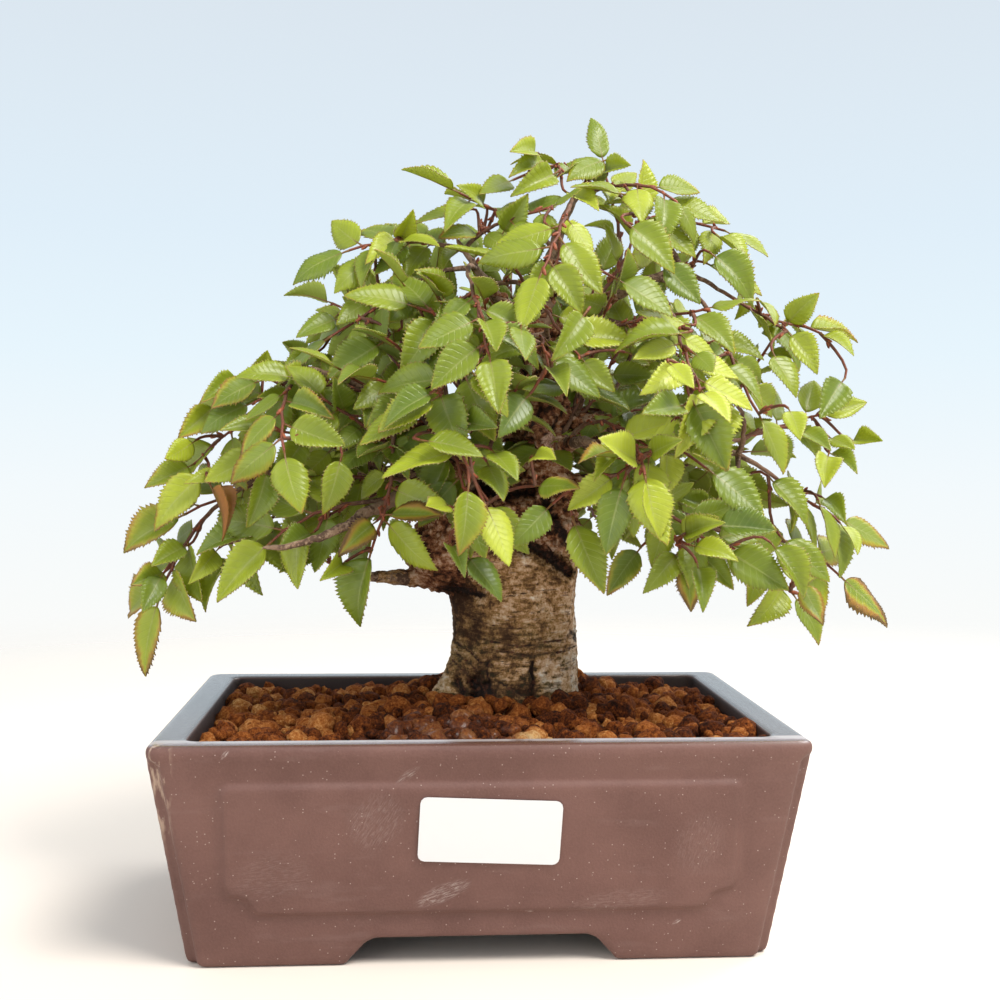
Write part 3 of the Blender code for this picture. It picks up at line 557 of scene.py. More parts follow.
BACK_HIGHEST = 62.0
GOLDEN = 0.618
print(len(LIMBS), "limbs,", len(SHOOTS) + BACK_SHOOTS, "measured shoots")

# %% Curves through places, and rings round them
def loft(rings):
    """Points and faces of a closed body through rings with the same number of points."""
    count = len(rings[0])
    points = [point for ring in rings for point in ring]
    faces = [tuple(range(count)), tuple(range(len(points) - count, len(points)))]
    for start in range(0, len(points) - count, count):
        for i in range(count):
            j = (i + 1) % count
            faces.append((start + i, start + j, start + count + j, start + count + i))
    return points, faces


def to_all_sides(turn, rise):
    """A direction, given as on a globe."""
    return Vector((cos(rise) * cos(turn), cos(rise) * sin(turn), sin(rise)))


def resized(way, sizes):
    return Vector(a * b for a, b in zip(way, sizes))


def jitter(draw, reach):
    """A small move, drawn by chance."""
    return Vector([draw.uniform(-reach, reach) for axis in range(3)])


def smooth_path(places, step):
    """Points about a step apart on the smooth curve through the places."""
    knots = [Vector(p) for p in places]
    knots = [2 * knots[0] - knots[1], *knots, 2 * knots[-1] - knots[-2]]
    path = [knots[1]]
    for a, b, c, d in zip(knots, knots[1:], knots[2:], knots[3:]):
        pieces = max(1, round((c - b).length / step))
        for k in range(1, pieces + 1):
            t = k / pieces
            path.append(0.5 * (2 * b + (c - a) * t + (2 * a - 5 * b + 4 * c - d) * t * t
                               + (3 * b - a - 3 * c + d) * t ** 3))
    return path


def tangents(path):
    ends = [path[0], *path, path[-1]]
    return [(after - before).normalized() for before, after in zip(ends, ends[2:])]


def across(direction, wish):
    """The wish, made square to the direction."""
    return (wish - wish.project(direction)).normalized()


def tube_rings(path, radii, sides, wish):
    """Rings round a path, each square to it, with one flat side towards the wish."""
    rings = []
    for centre, along, radius in zip(path, tangents(path), radii):
        wish = across(along, wish)
        side = along.cross(wish)
        angles = [2 * pi * (k + 0.5) / sides for k in range(sides)]
        rings.append([centre + radius * (wish * cos(a) + side * sin(a)) for a in angles])
    return rings


def limb_path(name, step=4.0):
    """Centre points about a step apart along a limb, with their radii."""
    thick, thin, places = LIMBS[name]
    path = smooth_path(places, step)
    last = len(path) - 1
    return path, [thick + (thin - thick) * (k / last) ** 0.8 for k in range(last + 1)]


def bezier(a, b, c, d, count=40):
    path = []
    for k in range(count + 1):
        t = k / count
        s = 1 - t
        path.append(s ** 3 * a + 3 * s * s * t * b + 3 * s * t * t * c + t ** 3 * d)
    return path


def at_lengths(path, lengths):
    """Points of a path at the given lengths from its end."""
    found = []
    for left in lengths:
        for after, before in zip(path[::-1], path[-2::-1]):
            part = (after - before).length
            if left <= part or before is path[0]:
                found.append(after.lerp(before, min(1.0, left / part)))
                break
            left -= part
    return found


print("the leader passes", len(limb_path("leader")[0]), "points")

# %% [markdown]
# A shoot leaves the limb that lies best for it and bends towards the light. Its sway is drawn from a seed
# made of its name, so that every run, here and in the measured model, grows the same tree.

# %% Shoots and their leaves
def back_shoots():
    """Places on the rear dome, as the twig's end and its last leaf's tip."""
    made = {}
    for k in range(BACK_SHOOTS):
        turn = radians(14 + 152 * ((k * GOLDEN) % 1.0))
        rise = radians(BACK_LOWEST + (BACK_HIGHEST - BACK_LOWEST) * (k + 0.5) / BACK_SHOOTS)
        out = to_all_sides(turn, rise)
        tip = CROWN + resized(out, BACK_DOME)
        lean = (out + Vector((0, 0, -0.45 * cos(rise)))).normalized()
        made[f"back_{k + 1}"] = (tip - 21 * lean, tip)
    return made


def branch_roots(end, heading, twig, limbs):
    """The best place on each limb for a shoot to grow from, best first."""
    wish = end - (twig + 15) * heading - Vector((0, 0, 4))
    nearest = twig + 10
    roots = []
    for path, radii in limbs.values():
        choices = []
        for place, radius, along in list(zip(path, radii, tangents(path)))[2:-1]:
            short = max(0.0, nearest - (end - place).length)
            choices.append(((place - wish).length + 6 * short + 5 * max(0.0, radius - 4), place, along))
        roots.append(min(choices, key=lambda choice: choice[0]))
    return sorted(roots, key=lambda choice: choice[0])


def shoot_path(name, end, heading, roots, attempt):
    """A branch and its twig as one curve, bent more at each attempt and then on the next limb."""
    place, along = roots[attempt // SHOOT_TRIES][1:]
    draw = Random(f"{name} path {attempt}")
    reach = (end - place).length
    sway = jitter(draw, 1) * (1.5 + 1.6 * (attempt % SHOOT_TRIES))
    end = end + 0.25 * sway
    start = (0.7 * along + (end - place).normalized() * 1.5 + Vector((0, 0, 0.2))).normalized()
    return bezier(place, place + 0.3 * reach * start + sway, end - 0.42 * reach * heading + 0.6 * sway, end)


class Sprig:
    """A twig's centre points from foot to end, and the way that its upper side faces."""

    def __init__(self, path, facing, leaves):
        self.leaves = leaves
        self.points = at_lengths(path, [INTERNODE * (leaves - k) for k in range(leaves + 1)])
        self.foot = self.points[0]
        self.facing = facing
        self.along = tangents(self.points)

    def rings(self, thickness):
        return tube_rings(self.points, [thickness / 2 ** 0.5] * len(self.points), 4, self.facing)

    def frames(self):
        """For each ring: its centre, and the ways along, up and right."""
        facing = self.facing
        for centre, along in zip(self.points, self.along):
            facing = across(along, facing)
            yield centre, along, facing, along.cross(facing)


def leaf_axes(along, upper, outward, name, number, attempt):
    """Draws how a leaf stands on its twig: its size, and the ways of its tip and its face."""
    draw = Random(f"{name} leaf {number} {attempt}")
    loose = attempt / LEAF_TRIES
    if outward is None:
        tip = (along - upper * draw.uniform(-0.04 - 0.5 * loose, 0.08 + 0.6 * loose)).normalized()
        front = across(tip, along.cross(upper))
        roll = radians(draw.uniform(-12, 12) * (1 + 2 * loose))
        size = draw.uniform(0.98, 1.04)
    else:
        turn = radians(draw.uniform(54, 64 + 16 * loose))
        tip = along * cos(turn) + outward * sin(turn)
        tip = (tip - upper * draw.uniform(0.02 - 0.5 * loose, 0.35 + 0.5 * loose)).normalized()
        front = across(tip, along)
        roll = radians(draw.uniform(14 - 20 * loose, 24 + 20 * loose))
        size = draw.uniform(0.88, 1.04)
    size *= 1 - 0.4 * loose
    face = front.cross(tip)
    if face.dot(upper) < 0:
        face = -face
    return size, tip, face * cos(roll) + front * sin(roll)


# %% [markdown]
# The measured model drew each shoot and leaf again where it would have crossed its neighbours. Which draw it
# kept can be read from the model: only the right one puts its corner exactly on a corner of the node's
# mesh. A search tree finds that in a moment.

# %% Find the draws that the measured model kept
CAD_MATCH = 0.05


class Corners:
    """The corners of a node's mesh, in millimetres in the pot's frame."""

    def __init__(self, node):
        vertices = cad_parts[node].data.vertices
        self.tree = KDTree(len(vertices))
        for vertex in vertices:
            self.tree.insert((vertex.co - POT_PLACE) / MILLIMETRE, vertex.index)
        self.tree.balance()

    def has(self, point):
        return self.tree.find(point)[2] < CAD_MATCH


class Leaf:
    """How a leaf stands: its base, the ways of its tip and its upper face, and its length."""

    def __init__(self, base, tip, face, length, number, spray):
        self.base, self.tip, self.face, self.length = base, tip, face, length
        self.number, self.spray = number, spray

    @property
    def end(self):
        return self.base + self.tip * self.length - self.face * (LEAF_ARCH * self.length)

    def turn(self):
        """The rotation that takes a leaf along +Y, facing +Z, to this place."""
        across_leaf = self.tip.cross(self.face)
        return Matrix((across_leaf, self.tip, self.face)).transposed().to_quaternion()


def leaf_base(ring, after, side):
    """Where a leaf grows: the middle of a small square on one side of the twig."""
    top, low = (0, 1) if side else (3, 2)
    share = TWIG / (after[top] - ring[top]).length
    return (ring[top] + ring[low] + ring[top].lerp(after[top], share) + ring[low].lerp(after[low], share)) / 4


def sprig_leaves(name, sprig, tip_length):
    """Each leaf's base, the ways along, up and out, its number and its full length."""
    rings = sprig.rings(TWIG)
    frames = list(sprig.frames())
    first_side = Random(f"{name} first side").choice((0, 1))
    for k in range(sprig.leaves):
        centre, along, upper, right = frames[k]
        side = (k + first_side) % 2
        base = leaf_base(rings[k], rings[k + 1], side)
        yield base, along, upper, right if side else -right, k, tip_length * min(1.0, 0.75 + 0.12 * k)
    centre, along, upper, right = frames[-1]
    yield centre, along, upper, None, sprig.leaves, tip_length


def drawn_leaf(name, place, attempt):
    """A leaf as it is drawn at one attempt."""
    base, along, upper, outward, number, length = place
    size, tip, face = leaf_axes(along, upper, outward, name, number, attempt)
    return Leaf(base, tip, face, length * size, number, name)


def shoot_facing(name, end, heading):
    outward = (end - CROWN).normalized()
    open_side = Vector((0, -0.65 if end.y < 25 else 0.65, 0.45))
    sway = jitter(Random(f"{name} facing"), 0.25)
    return across(heading, 0.7 * outward + open_side + sway)


def shoot_plan(name, end, tip, count):
    """A shoot's end, heading, last leaf's length, facing, and where it may grow from."""
    end, tip = Vector(end), Vector(tip)
    heading = (tip - end).normalized()
    tip_length = min(LONG_LEAF, max(SHORT_LEAF, (tip - end).length))
    end = tip - heading * tip_length
    roots = branch_roots(end, heading, INTERNODE * count, limbs)
    return end, heading, tip_length, shoot_facing(name, end, heading), roots


limbs = {name: limb_path(name) for name in LIMBS if name != "stub"}
shoots = {}
leaves = []
for name, (end, tip) in {**SHOOTS, **back_shoots()}.items():
    count = FRONT_LEAVES if name in SHOOTS else BACK_LEAVES
    end, heading, tip_length, facing, roots = shoot_plan(name, end, tip, count)
    corners = Corners(f"spray_{name}")
    for attempt in range(SHOOT_TRIES * SHOOT_LIMBS):
        path = shoot_path(name, end, heading, roots, attempt)
        sprig = Sprig(path, facing, count)
        if all(corners.has(corner) for corner in sprig.rings(TWIG)[0]):
            break
    else:
        print("no draw matches", name)
    shoots[name] = (path, sprig)
    for place in sprig_leaves(name, sprig, tip_length):
        for attempt in range(LEAF_TRIES):
            leaf = drawn_leaf(name, place, attempt)
            if corners.has(leaf.end + leaf.face * (BLADE / 2)):
                leaves.append(leaf)
                break
print("found", len(leaves), "measured leaves on", len(shoots), "shoots")


# %% [markdown]
# ## Leaves where the picture shows them
#
# A viewer knows a tree by its face: which leaves hang before the trunk, which stand out of the outline,
# which are bright and which are burnt. Each row below is one such leaf: where its foot and its
# tip are seen, how deep in the crown it grows, how far its face leans up from the viewer, and how young and
# how dry it is. A leaf that looks shorter than a grown one can be is turned towards the viewer by that much.

# %% How the camera sees a place
FOLD = 0.3
PATCH = ((0.18, 0.2), (0.38, 0.29), (0.68, 0.2))
CELL = 26.0
FRONT_LIMIT = -68.0


def at_pixel(across_picture, down_picture, depth):
    """The place that the camera sees at a pixel, at a depth y in the pot's frame."""
    half = PICTURE_PIXELS / 2
    way = (forward + right_hand * ((across_picture - half) / FOCAL_PIXELS)
           + upward * ((half - down_picture) / FOCAL_PIXELS))
    return Vector(EYE) + way * ((depth - EYE[1]) / way.y)


def in_picture(point):
    """The pixel at which the camera sees a place."""
    way = point - Vector(EYE)
    scale = FOCAL_PIXELS / way.dot(forward)
    return PICTURE_PIXELS / 2 + way.dot(right_hand) * scale, PICTURE_PIXELS / 2 - way.dot(upward) * scale


print("the pot's front left foot is seen at", [round(value) for value in in_picture(Vector((-85, -52, 0)))])

# %% The leaves that are seen: foot, tip, depth, and lean, youth and drought in hundredths
SEEN = (
    (469, 483, 461, 553, -60, 20, 45, 45), (483, 500, 517, 562, -56, 30, 95, 0),
    (466, 553, 500, 600, -50, 50, 0, 0), (450, 544, 466, 565, -44, 40, 12, 0),
    (450, 506, 428, 502, -52, 80, 80, 10), (373, 259, 331, 282, 0, 130, 60, 5),
    (398, 237, 367, 251, 4, 80, 80, 35), (400, 238, 382, 259, 6, -50, 30, 0),
    (341, 318, 296, 332, 8, 50, 30, 10), (373, 300, 335, 316, 6, 90, 45, 5),
    (398, 331, 350, 338, 0, 90, 30, 0), (385, 341, 329, 377, -8, 40, 40, 10),
    (318, 352, 282, 369, 2, 60, 45, 10), (263, 374, 262, 356, 0, 0, 60, 10),
    (312, 382, 279, 372, -2, 80, 55, 10), (241, 377, 205, 398, 2, 50, 50, 35),
    (262, 380, 208, 401, -4, 110, 35, 55), (217, 404, 180, 438, 2, 40, 50, 50),
    (345, 412, 334, 384, -16, 30, 35, 10), (395, 384, 352, 400, -18, 50, 40, 10),
    (415, 392, 371, 428, -30, 40, 35, 20), (298, 402, 262, 392, -8, 70, 50, 25),
    (302, 405, 296, 382, -10, -40, 20, 0), (325, 412, 308, 390, -10, 60, 50, 10),
    (330, 415, 300, 430, -14, 90, 45, 10), (194, 464, 149, 488, 0, 60, 60, 40),
    (206, 472, 146, 520, -6, 90, 75, 40), (262, 453, 205, 482, -16, 30, 60, 15),
    (189, 545, 150, 561, 0, 50, 45, 15), (166, 571, 137, 585, -1, 90, 40, 60),
    (164, 573, 140, 608, -4, 0, 30, 10), (219, 548, 193, 577, -8, 50, 75, 10),
    (268, 533, 196, 541, -14, 100, 35, 10), (268, 467, 254, 527, -26, 20, 25, 5),
    (342, 454, 327, 513, -36, 20, 50, 20), (314, 532, 281, 547, -20, 40, 25, 10),
    (312, 547, 284, 565, -16, 30, 30, 10), (377, 521, 339, 549, -26, 40, 40, 95),
    (385, 515, 441, 512, -32, 80, 30, 95), (345, 562, 326, 572, -24, 40, 60, 0),
    (230, 480, 190, 474, -6, 80, 70, 20), (210, 484, 232, 531, -12, 140, 30, 160),
    (196, 440, 170, 462, -2, 50, 70, 20), (462, 450, 380, 468, -54, 130, 75, 10),
    (420, 440, 484, 447, -50, 110, 55, 0), (439, 396, 380, 430, -50, 90, 60, 25),
    (437, 391, 381, 416, -44, 20, 30, 5), (471, 371, 504, 409, -56, 30, 50, 10),
    (483, 318, 499, 347, -50, 40, 45, 5), (447, 319, 461, 348, -42, 50, 60, 0),
    (521, 326, 521, 352, -54, 20, 40, 10), (587, 311, 555, 353, -52, 30, 50, 10),
    (460, 420, 490, 430, -48, 30, 15, 0), (530, 394, 497, 428, -50, 0, 15, 0),
    (625, 352, 686, 367, -40, 80, 20, 0), (689, 332, 620, 341, -42, 100, 40, 15),
    (668, 362, 692, 385, -58, 40, 95, 5), (685, 405, 651, 412, -56, 50, 35, 0),
    (690, 397, 730, 469, -58, 20, 35, 15), (645, 475, 656, 538, -60, 30, 85, 10),
    (624, 480, 602, 552, -50, -20, 25, 10), (552, 504, 512, 545, -48, 30, 35, 15),
    (572, 516, 599, 594, -46, 20, 40, 25), (535, 486, 572, 486, -44, 60, 35, 55),
    (492, 450, 512, 474, -50, 40, 50, 0), (487, 462, 500, 492, -48, 30, 45, 10),
    (532, 456, 549, 457, -46, 60, 85, 0), (640, 463, 606, 441, -52, 60, 85, 5),
    (649, 455, 676, 439, -50, 50, 45, 0), (617, 458, 591, 452, -44, 90, 35, 60),
    (682, 536, 715, 522, -46, 40, 45, 5), (472, 209, 413, 219, -2, 100, 40, 30),
    (481, 234, 437, 229, 0, 90, 35, 55), (505, 263, 447, 242, -22, 110, 65, 0),
    (486, 206, 468, 184, 0, 60, 60, 5), (513, 180, 485, 191, 4, 80, 40, 15),
    (549, 166, 512, 165, 0, 70, 60, 35), (538, 153, 512, 143, 2, 50, 55, 30),
    (558, 172, 519, 191, -4, 70, 50, 10), (607, 160, 566, 168, 2, 80, 40, 30),
    (602, 172, 628, 162, 2, 50, 55, 0), (566, 192, 601, 201, -8, 70, 85, 10),
    (626, 195, 572, 180, -4, 90, 50, 10), (400, 241, 413, 216, 2, 40, 75, 5),
    (398, 241, 433, 241, -2, 90, 60, 0), (501, 236, 527, 196, -10, 40, 50, 10),
    (547, 225, 586, 242, -22, 80, 70, 0), (508, 276, 541, 244, -14, 50, 30, 10),
    (556, 263, 523, 300, -34, 30, 55, 5), (657, 201, 722, 217, -8, 80, 55, 10),
    (641, 216, 695, 256, -12, 30, 45, 10), (715, 234, 754, 262, -2, 90, 70, 15),
    (709, 252, 763, 291, -8, 40, 30, 10), (703, 262, 766, 286, 0, 90, 60, 20),
    (625, 222, 681, 264, -24, 30, 40, 20), (660, 262, 703, 300, -24, 30, 20, 5),
    (758, 299, 775, 317, -2, 80, 50, 30), (615, 278, 676, 311, -34, 60, 40, 10),
    (691, 325, 640, 312, -36, 90, 75, 5), (785, 326, 814, 291, 2, 30, 60, 30),
    (693, 353, 716, 366, -52, 30, 40, 0), (720, 364, 769, 398, -32, 70, 35, 5),
    (787, 331, 823, 368, -6, 20, 60, 10), (820, 333, 858, 349, 3, 70, 60, 5),
    (772, 351, 794, 394, -14, 30, 50, 0), (845, 378, 818, 413, 0, 0, 35, 5),
    (850, 440, 877, 442, 2, 60, 50, 0), (829, 437, 853, 447, 2, 80, 50, 0),
    (828, 452, 855, 466, 2, 70, 35, 10), (829, 453, 819, 481, -2, 20, 75, 5),
    (788, 408, 804, 434, -38, 30, 65, 0), (680, 418, 697, 441, -50, 20, 30, 0),
    (706, 468, 768, 513, -42, 40, 35, 10), (768, 476, 812, 521, -30, 40, 35, 5),
    (800, 430, 830, 444, -20, 70, 30, 0), (678, 537, 717, 521, -44, 30, 50, 5),
    (712, 526, 777, 526, -46, 50, 15, 10), (770, 542, 813, 592, -40, 30, 45, 10),
    (780, 536, 831, 581, -32, 30, 30, 15), (697, 563, 708, 604, -42, 20, 35, 10),
    (688, 560, 690, 610, -34, 10, 30, 80), (690, 545, 733, 555, -46, 70, 60, 5),
    (800, 581, 823, 624, -24, 30, 40, 75), (822, 497, 849, 512, 5, 50, 35, 10),
    (818, 500, 840, 556, -8, 120, 45, 10), (840, 523, 862, 549, 3, 90, 65, 0),
    (642, 546, 605, 592, -22, -40, 10, 50), (700, 553, 733, 586, -30, 20, 30, 30),
)
print(len(SEEN), "leaves are placed by eye")

# %% Room for more leaves
class Crowd:
    """The leaves so far as patches, sorted into cubes, to find what a new leaf would cross."""

    def __init__(self):
        self.cubes = {}
        self.middles = []

    def patch(self, leaf):
        side = leaf.tip.cross(leaf.face)
        points = [leaf.base + leaf.tip * (0.12 * leaf.length)]
        for sign in (1, -1):
            for u, v in PATCH:
                rise = FOLD * v - LEAF_ARCH * u * u
                points.append(leaf.base + leaf.length * (leaf.tip * u + side * (sign * v) + leaf.face * rise))
        points.append(leaf.end)
        faces = [(0, 1, 7), (1, 2, 7), (2, 3, 7), (0, 4, 7), (4, 5, 7), (5, 6, 7)]
        return points, BVHTree.FromPolygons(points, faces)

    def cubes_round(self, points):
        """The cubes that a box round the points reaches."""
        spans = [range(int(min(values) // CELL), int(max(values) // CELL) + 1) for values in zip(*points)]
        return [(a, b, c) for a in spans[0] for b in spans[1] for c in spans[2]]

    def has_room(self, leaf):
        points, tree = self.patch(leaf)
        near = {id(other): other for cube in self.cubes_round(points) for other in self.cubes.get(cube, ())}
        return not any(tree.overlap(other) for other in near.values())

    def add(self, leaf):
        points, tree = self.patch(leaf)
        for cube in self.cubes_round(points):
            self.cubes.setdefault(cube, []).append(tree)
        self.middles.append(leaf.base.lerp(leaf.end, 0.5))


crowd = Crowd()
for leaf in leaves:
    crowd.add(leaf)
print("cubes in use:", len(crowd.cubes))

# %% Put the seen leaves
SHIFTS = (0, -2.5, 2.5, -5, 5, -8, 8, -11, 11, -15, 15)
LOOKS = {}


def seen_leaf(number, shift, roll):
    """One seen leaf, moved in depth by a shift and rolled by some radians."""
    u0, v0, u1, v1, depth, lean = SEEN[number][:6]
    depth = max(FRONT_LIMIT + 4, depth + shift)
    base = at_pixel(u0, v0, depth)
    flat = (at_pixel(u1, v1, depth) - base).length
    length = min(LONG_LEAF + 2, max(1.03 * flat, 13.5 + 0.27 * flat))
    nearer = max(0.0, length * length - flat * flat) ** 0.5
    reach = at_pixel(u1, v1, max(FRONT_LIMIT, depth - nearer)) - base
    tip = reach.normalized()
    to_eye = (Vector(EYE) - base).normalized()
    leaning = upward * abs(tip.dot(right_hand)) + right_hand * abs(tip.dot(upward))
    face = across(tip, to_eye + leaning * (1.7 * (lean / 100)))
    return Leaf(base, tip, Matrix.Rotation(roll, 3, tip) @ face, reach.length, number, f"seen_{number}")


def nearest_twig(leaf, places):
    """The place that a leaf's own twig best grows from: near, behind it and inwards."""
    def cost(place):
        way = place - leaf.base
        return (way.length + 2 * max(0.0, -way.y - 2) + 1.5 * max(0.0, way.dot(leaf.tip))
                + max(0.0, 9 - way.length) * 3)

    return min(places, key=cost)


wood = [point for path, radii in limbs.values() for point in path[2:]]
wood += [point for path, sprig in shoots.values() for point in path]
spurs = []
for number in range(len(SEEN)):
    draw = Random(f"seen leaf {number}")
    for shift in SHIFTS:
        leaf = seen_leaf(number, shift, draw.uniform(-0.12, 0.12) * (1 + abs(shift) / 4))
        if crowd.has_room(leaf):
            break
    else:
        continue
    crowd.add(leaf)
    leaves.append(leaf)
    LOOKS[leaf.spray] = [value / 100 for value in SEEN[number][6:]]
    foot = nearest_twig(leaf, wood)
    reach = (leaf.base - foot).length
    start = (leaf.base - foot).normalized() * 0.35 * reach + Vector((0, 0, 0.12 * reach))
    path = bezier(foot, foot + start, leaf.base - leaf.tip * (0.35 * reach), leaf.base)
    spurs.append(path)
    wood += path[2:]
print(len(spurs), "of", len(SEEN), "seen leaves found room")


# %% [markdown]
# ## More shoots for a full crown
#
# A pruned crown is dense: behind each shoot that shows, another one fills its gaps. The measured model holds
# a third of the leaves, and more shoots follow a grower's rule: the next one goes where the crown is
# emptiest, out of several places drawn by chance. A leaf that would cut through another, or stand out of
# the crown's clipped outline, is drawn again, and left out if there is no room for it.

# %% Places for the extra shoots
EXTRA_SHOOTS = 86
EXTRA_TRIES = 14
EXTRA_LEAVES = (5, 6)
DOME = Vector((118.0, 84.0, 100.0))
CHOICES = 14
OUTLINE = ((128, 668), (122, 560), (148, 480), (178, 425), (205, 376), (262, 356), (300, 318), (345, 286),
           (330, 244), (352, 226), (402, 212), (404, 164), (462, 164), (512, 140), (548, 148), (580, 112),
           (606, 112), (614, 156), (648, 156), (662, 186), (722, 204), (768, 222), (778, 290), (822, 283),
           (868, 322), (860, 350), (846, 372), (878, 390), (878, 446), (852, 492), (908, 540), (902, 630),
           (834, 642), (798, 625), (735, 592), (700, 606), (650, 590), (602, 592), (520, 568), (465, 560),
           (400, 505), (384, 552), (352, 630), (326, 576), (280, 567), (214, 594), (150, 672))


def in_ring(x, y, ring):
    """Whether a point is in a ring: a level line from it then crosses it an odd number of times."""
    inside = False
    for (x0, y0), (x1, y1) in zip(ring, ring[1:] + ring[:1]):
        if y0 != y1:
            inside = inside ^ (((y0 > y) != (y1 > y)) & (x < x0 + (x1 - x0) * (y - y0) / (y1 - y0)))
    return inside


def in_outline(point):
    """Whether the camera sees a place inside the clipped crown."""
    return in_ring(*in_picture(point), OUTLINE)


def in_crown(tip):
    """Whether a leaf's tip there leaves the trunk in view, and the crown's underside clean."""
    before_trunk = abs(tip.x - 20) < 62 and tip.y < 40
    return tip.z > (142 if before_trunk else 108) and in_outline(tip)


def emptiest_place(draw):
    """The drawn place on the dome that is furthest from every leaf so far."""
    best, widest = None, -1.0
    while best is None or draw.random() > 1 / CHOICES:
        turn = draw.uniform(0, 2 * pi)
        rise = asin(draw.uniform(-0.45, 0.97))
        share = draw.uniform(0.5, 0.93)
        out = to_all_sides(turn, rise)
        tip = CROWN + share * resized(out, DOME)
        room = min((tip - middle).length for middle in crowd.middles)
        if in_crown(tip) and room > widest:
            lean = (out + Vector((0, 0, draw.uniform(-0.4, 0.1) * cos(rise)))).normalized()
            best, widest = (tip - draw.uniform(13, 20) * lean, tip), room
    return best


def grow_extra(name, end, tip, count):
    """Adds a shoot with the leaves that find room, on the limb that lies best for it."""
    end, heading, tip_length, facing, roots = shoot_plan(name, end, tip, count)
    path = shoot_path(name, end, heading, roots, 0)
    sprig = Sprig(path, facing, count)
    grown = []
    for place in sprig_leaves(name, sprig, tip_length):
        for attempt in range(EXTRA_TRIES):
            leaf = drawn_leaf(name, place, attempt)
            if in_outline(leaf.end) and crowd.has_room(leaf):
                grown.append(leaf)
                crowd.add(leaf)
                break
    if grown:
        extra_shoots[name] = (path, sprig)
        leaves.extend(grown)


extra_shoots = {}
for number in range(EXTRA_SHOOTS):
    draw = Random(f"extra shoot {number}")
    grow_extra(f"extra_{number}", *emptiest_place(draw), draw.randint(*EXTRA_LEAVES))
print(len(extra_shoots), "extra shoots, and", len(leaves), "leaves in all")


# %% [markdown]
# ## One hornbeam leaf
#
# A hornbeam leaf is folded along its midrib and pleated like a fan: ten straight veins a side lie in the
# valleys, and each ends in a tooth with a smaller tooth beyond it. A flat card with a picture would lose the
# pleats, which catch the light, so the blade's grid follows the veins: every second line of points is a
# vein. No two leaves of a tree are folded, curled or waved alike, so a row of seeded shapes is made, and each
# is used for some thirty leaves.

# %% Shape of the blade, as shares of the leaf's length
VEINS = 9
STALK = 0.12
HALF_WIDTH = 0.265
PLEAT = 0.011
BLADE_THICKNESS = 0.012
COLUMNS = (0.55, 1.0)
TOOTH = 0.056
NOTCH = 0.925
STALK_RINGS = ((0.0, 0.022), (STALK * 0.6, 0.015), (STALK + 0.04, 0.014), (0.5, 0.009), (0.86, 0.003))
LEAF_SHAPES = 26
DEAD_SHAPE = LEAF_SHAPES


def half_width(u):
    """Half the blade's width at a share of its length."""
    return HALF_WIDTH * max(0.0, sin(pi * u ** 0.66)) ** 0.9


def vein_lines():
    """For each line from midrib to margin: its start, its end and whether it is a vein."""
    lines = []
    for i in range(2 * VEINS + 1):
        start = 0.94 * (i / (2 * VEINS)) ** 0.96
        end = start + 0.035 + 0.16 * sin(pi * start ** 0.6)
        lines.append((start, min(end, 0.992), i % 2 == 0))
    return lines


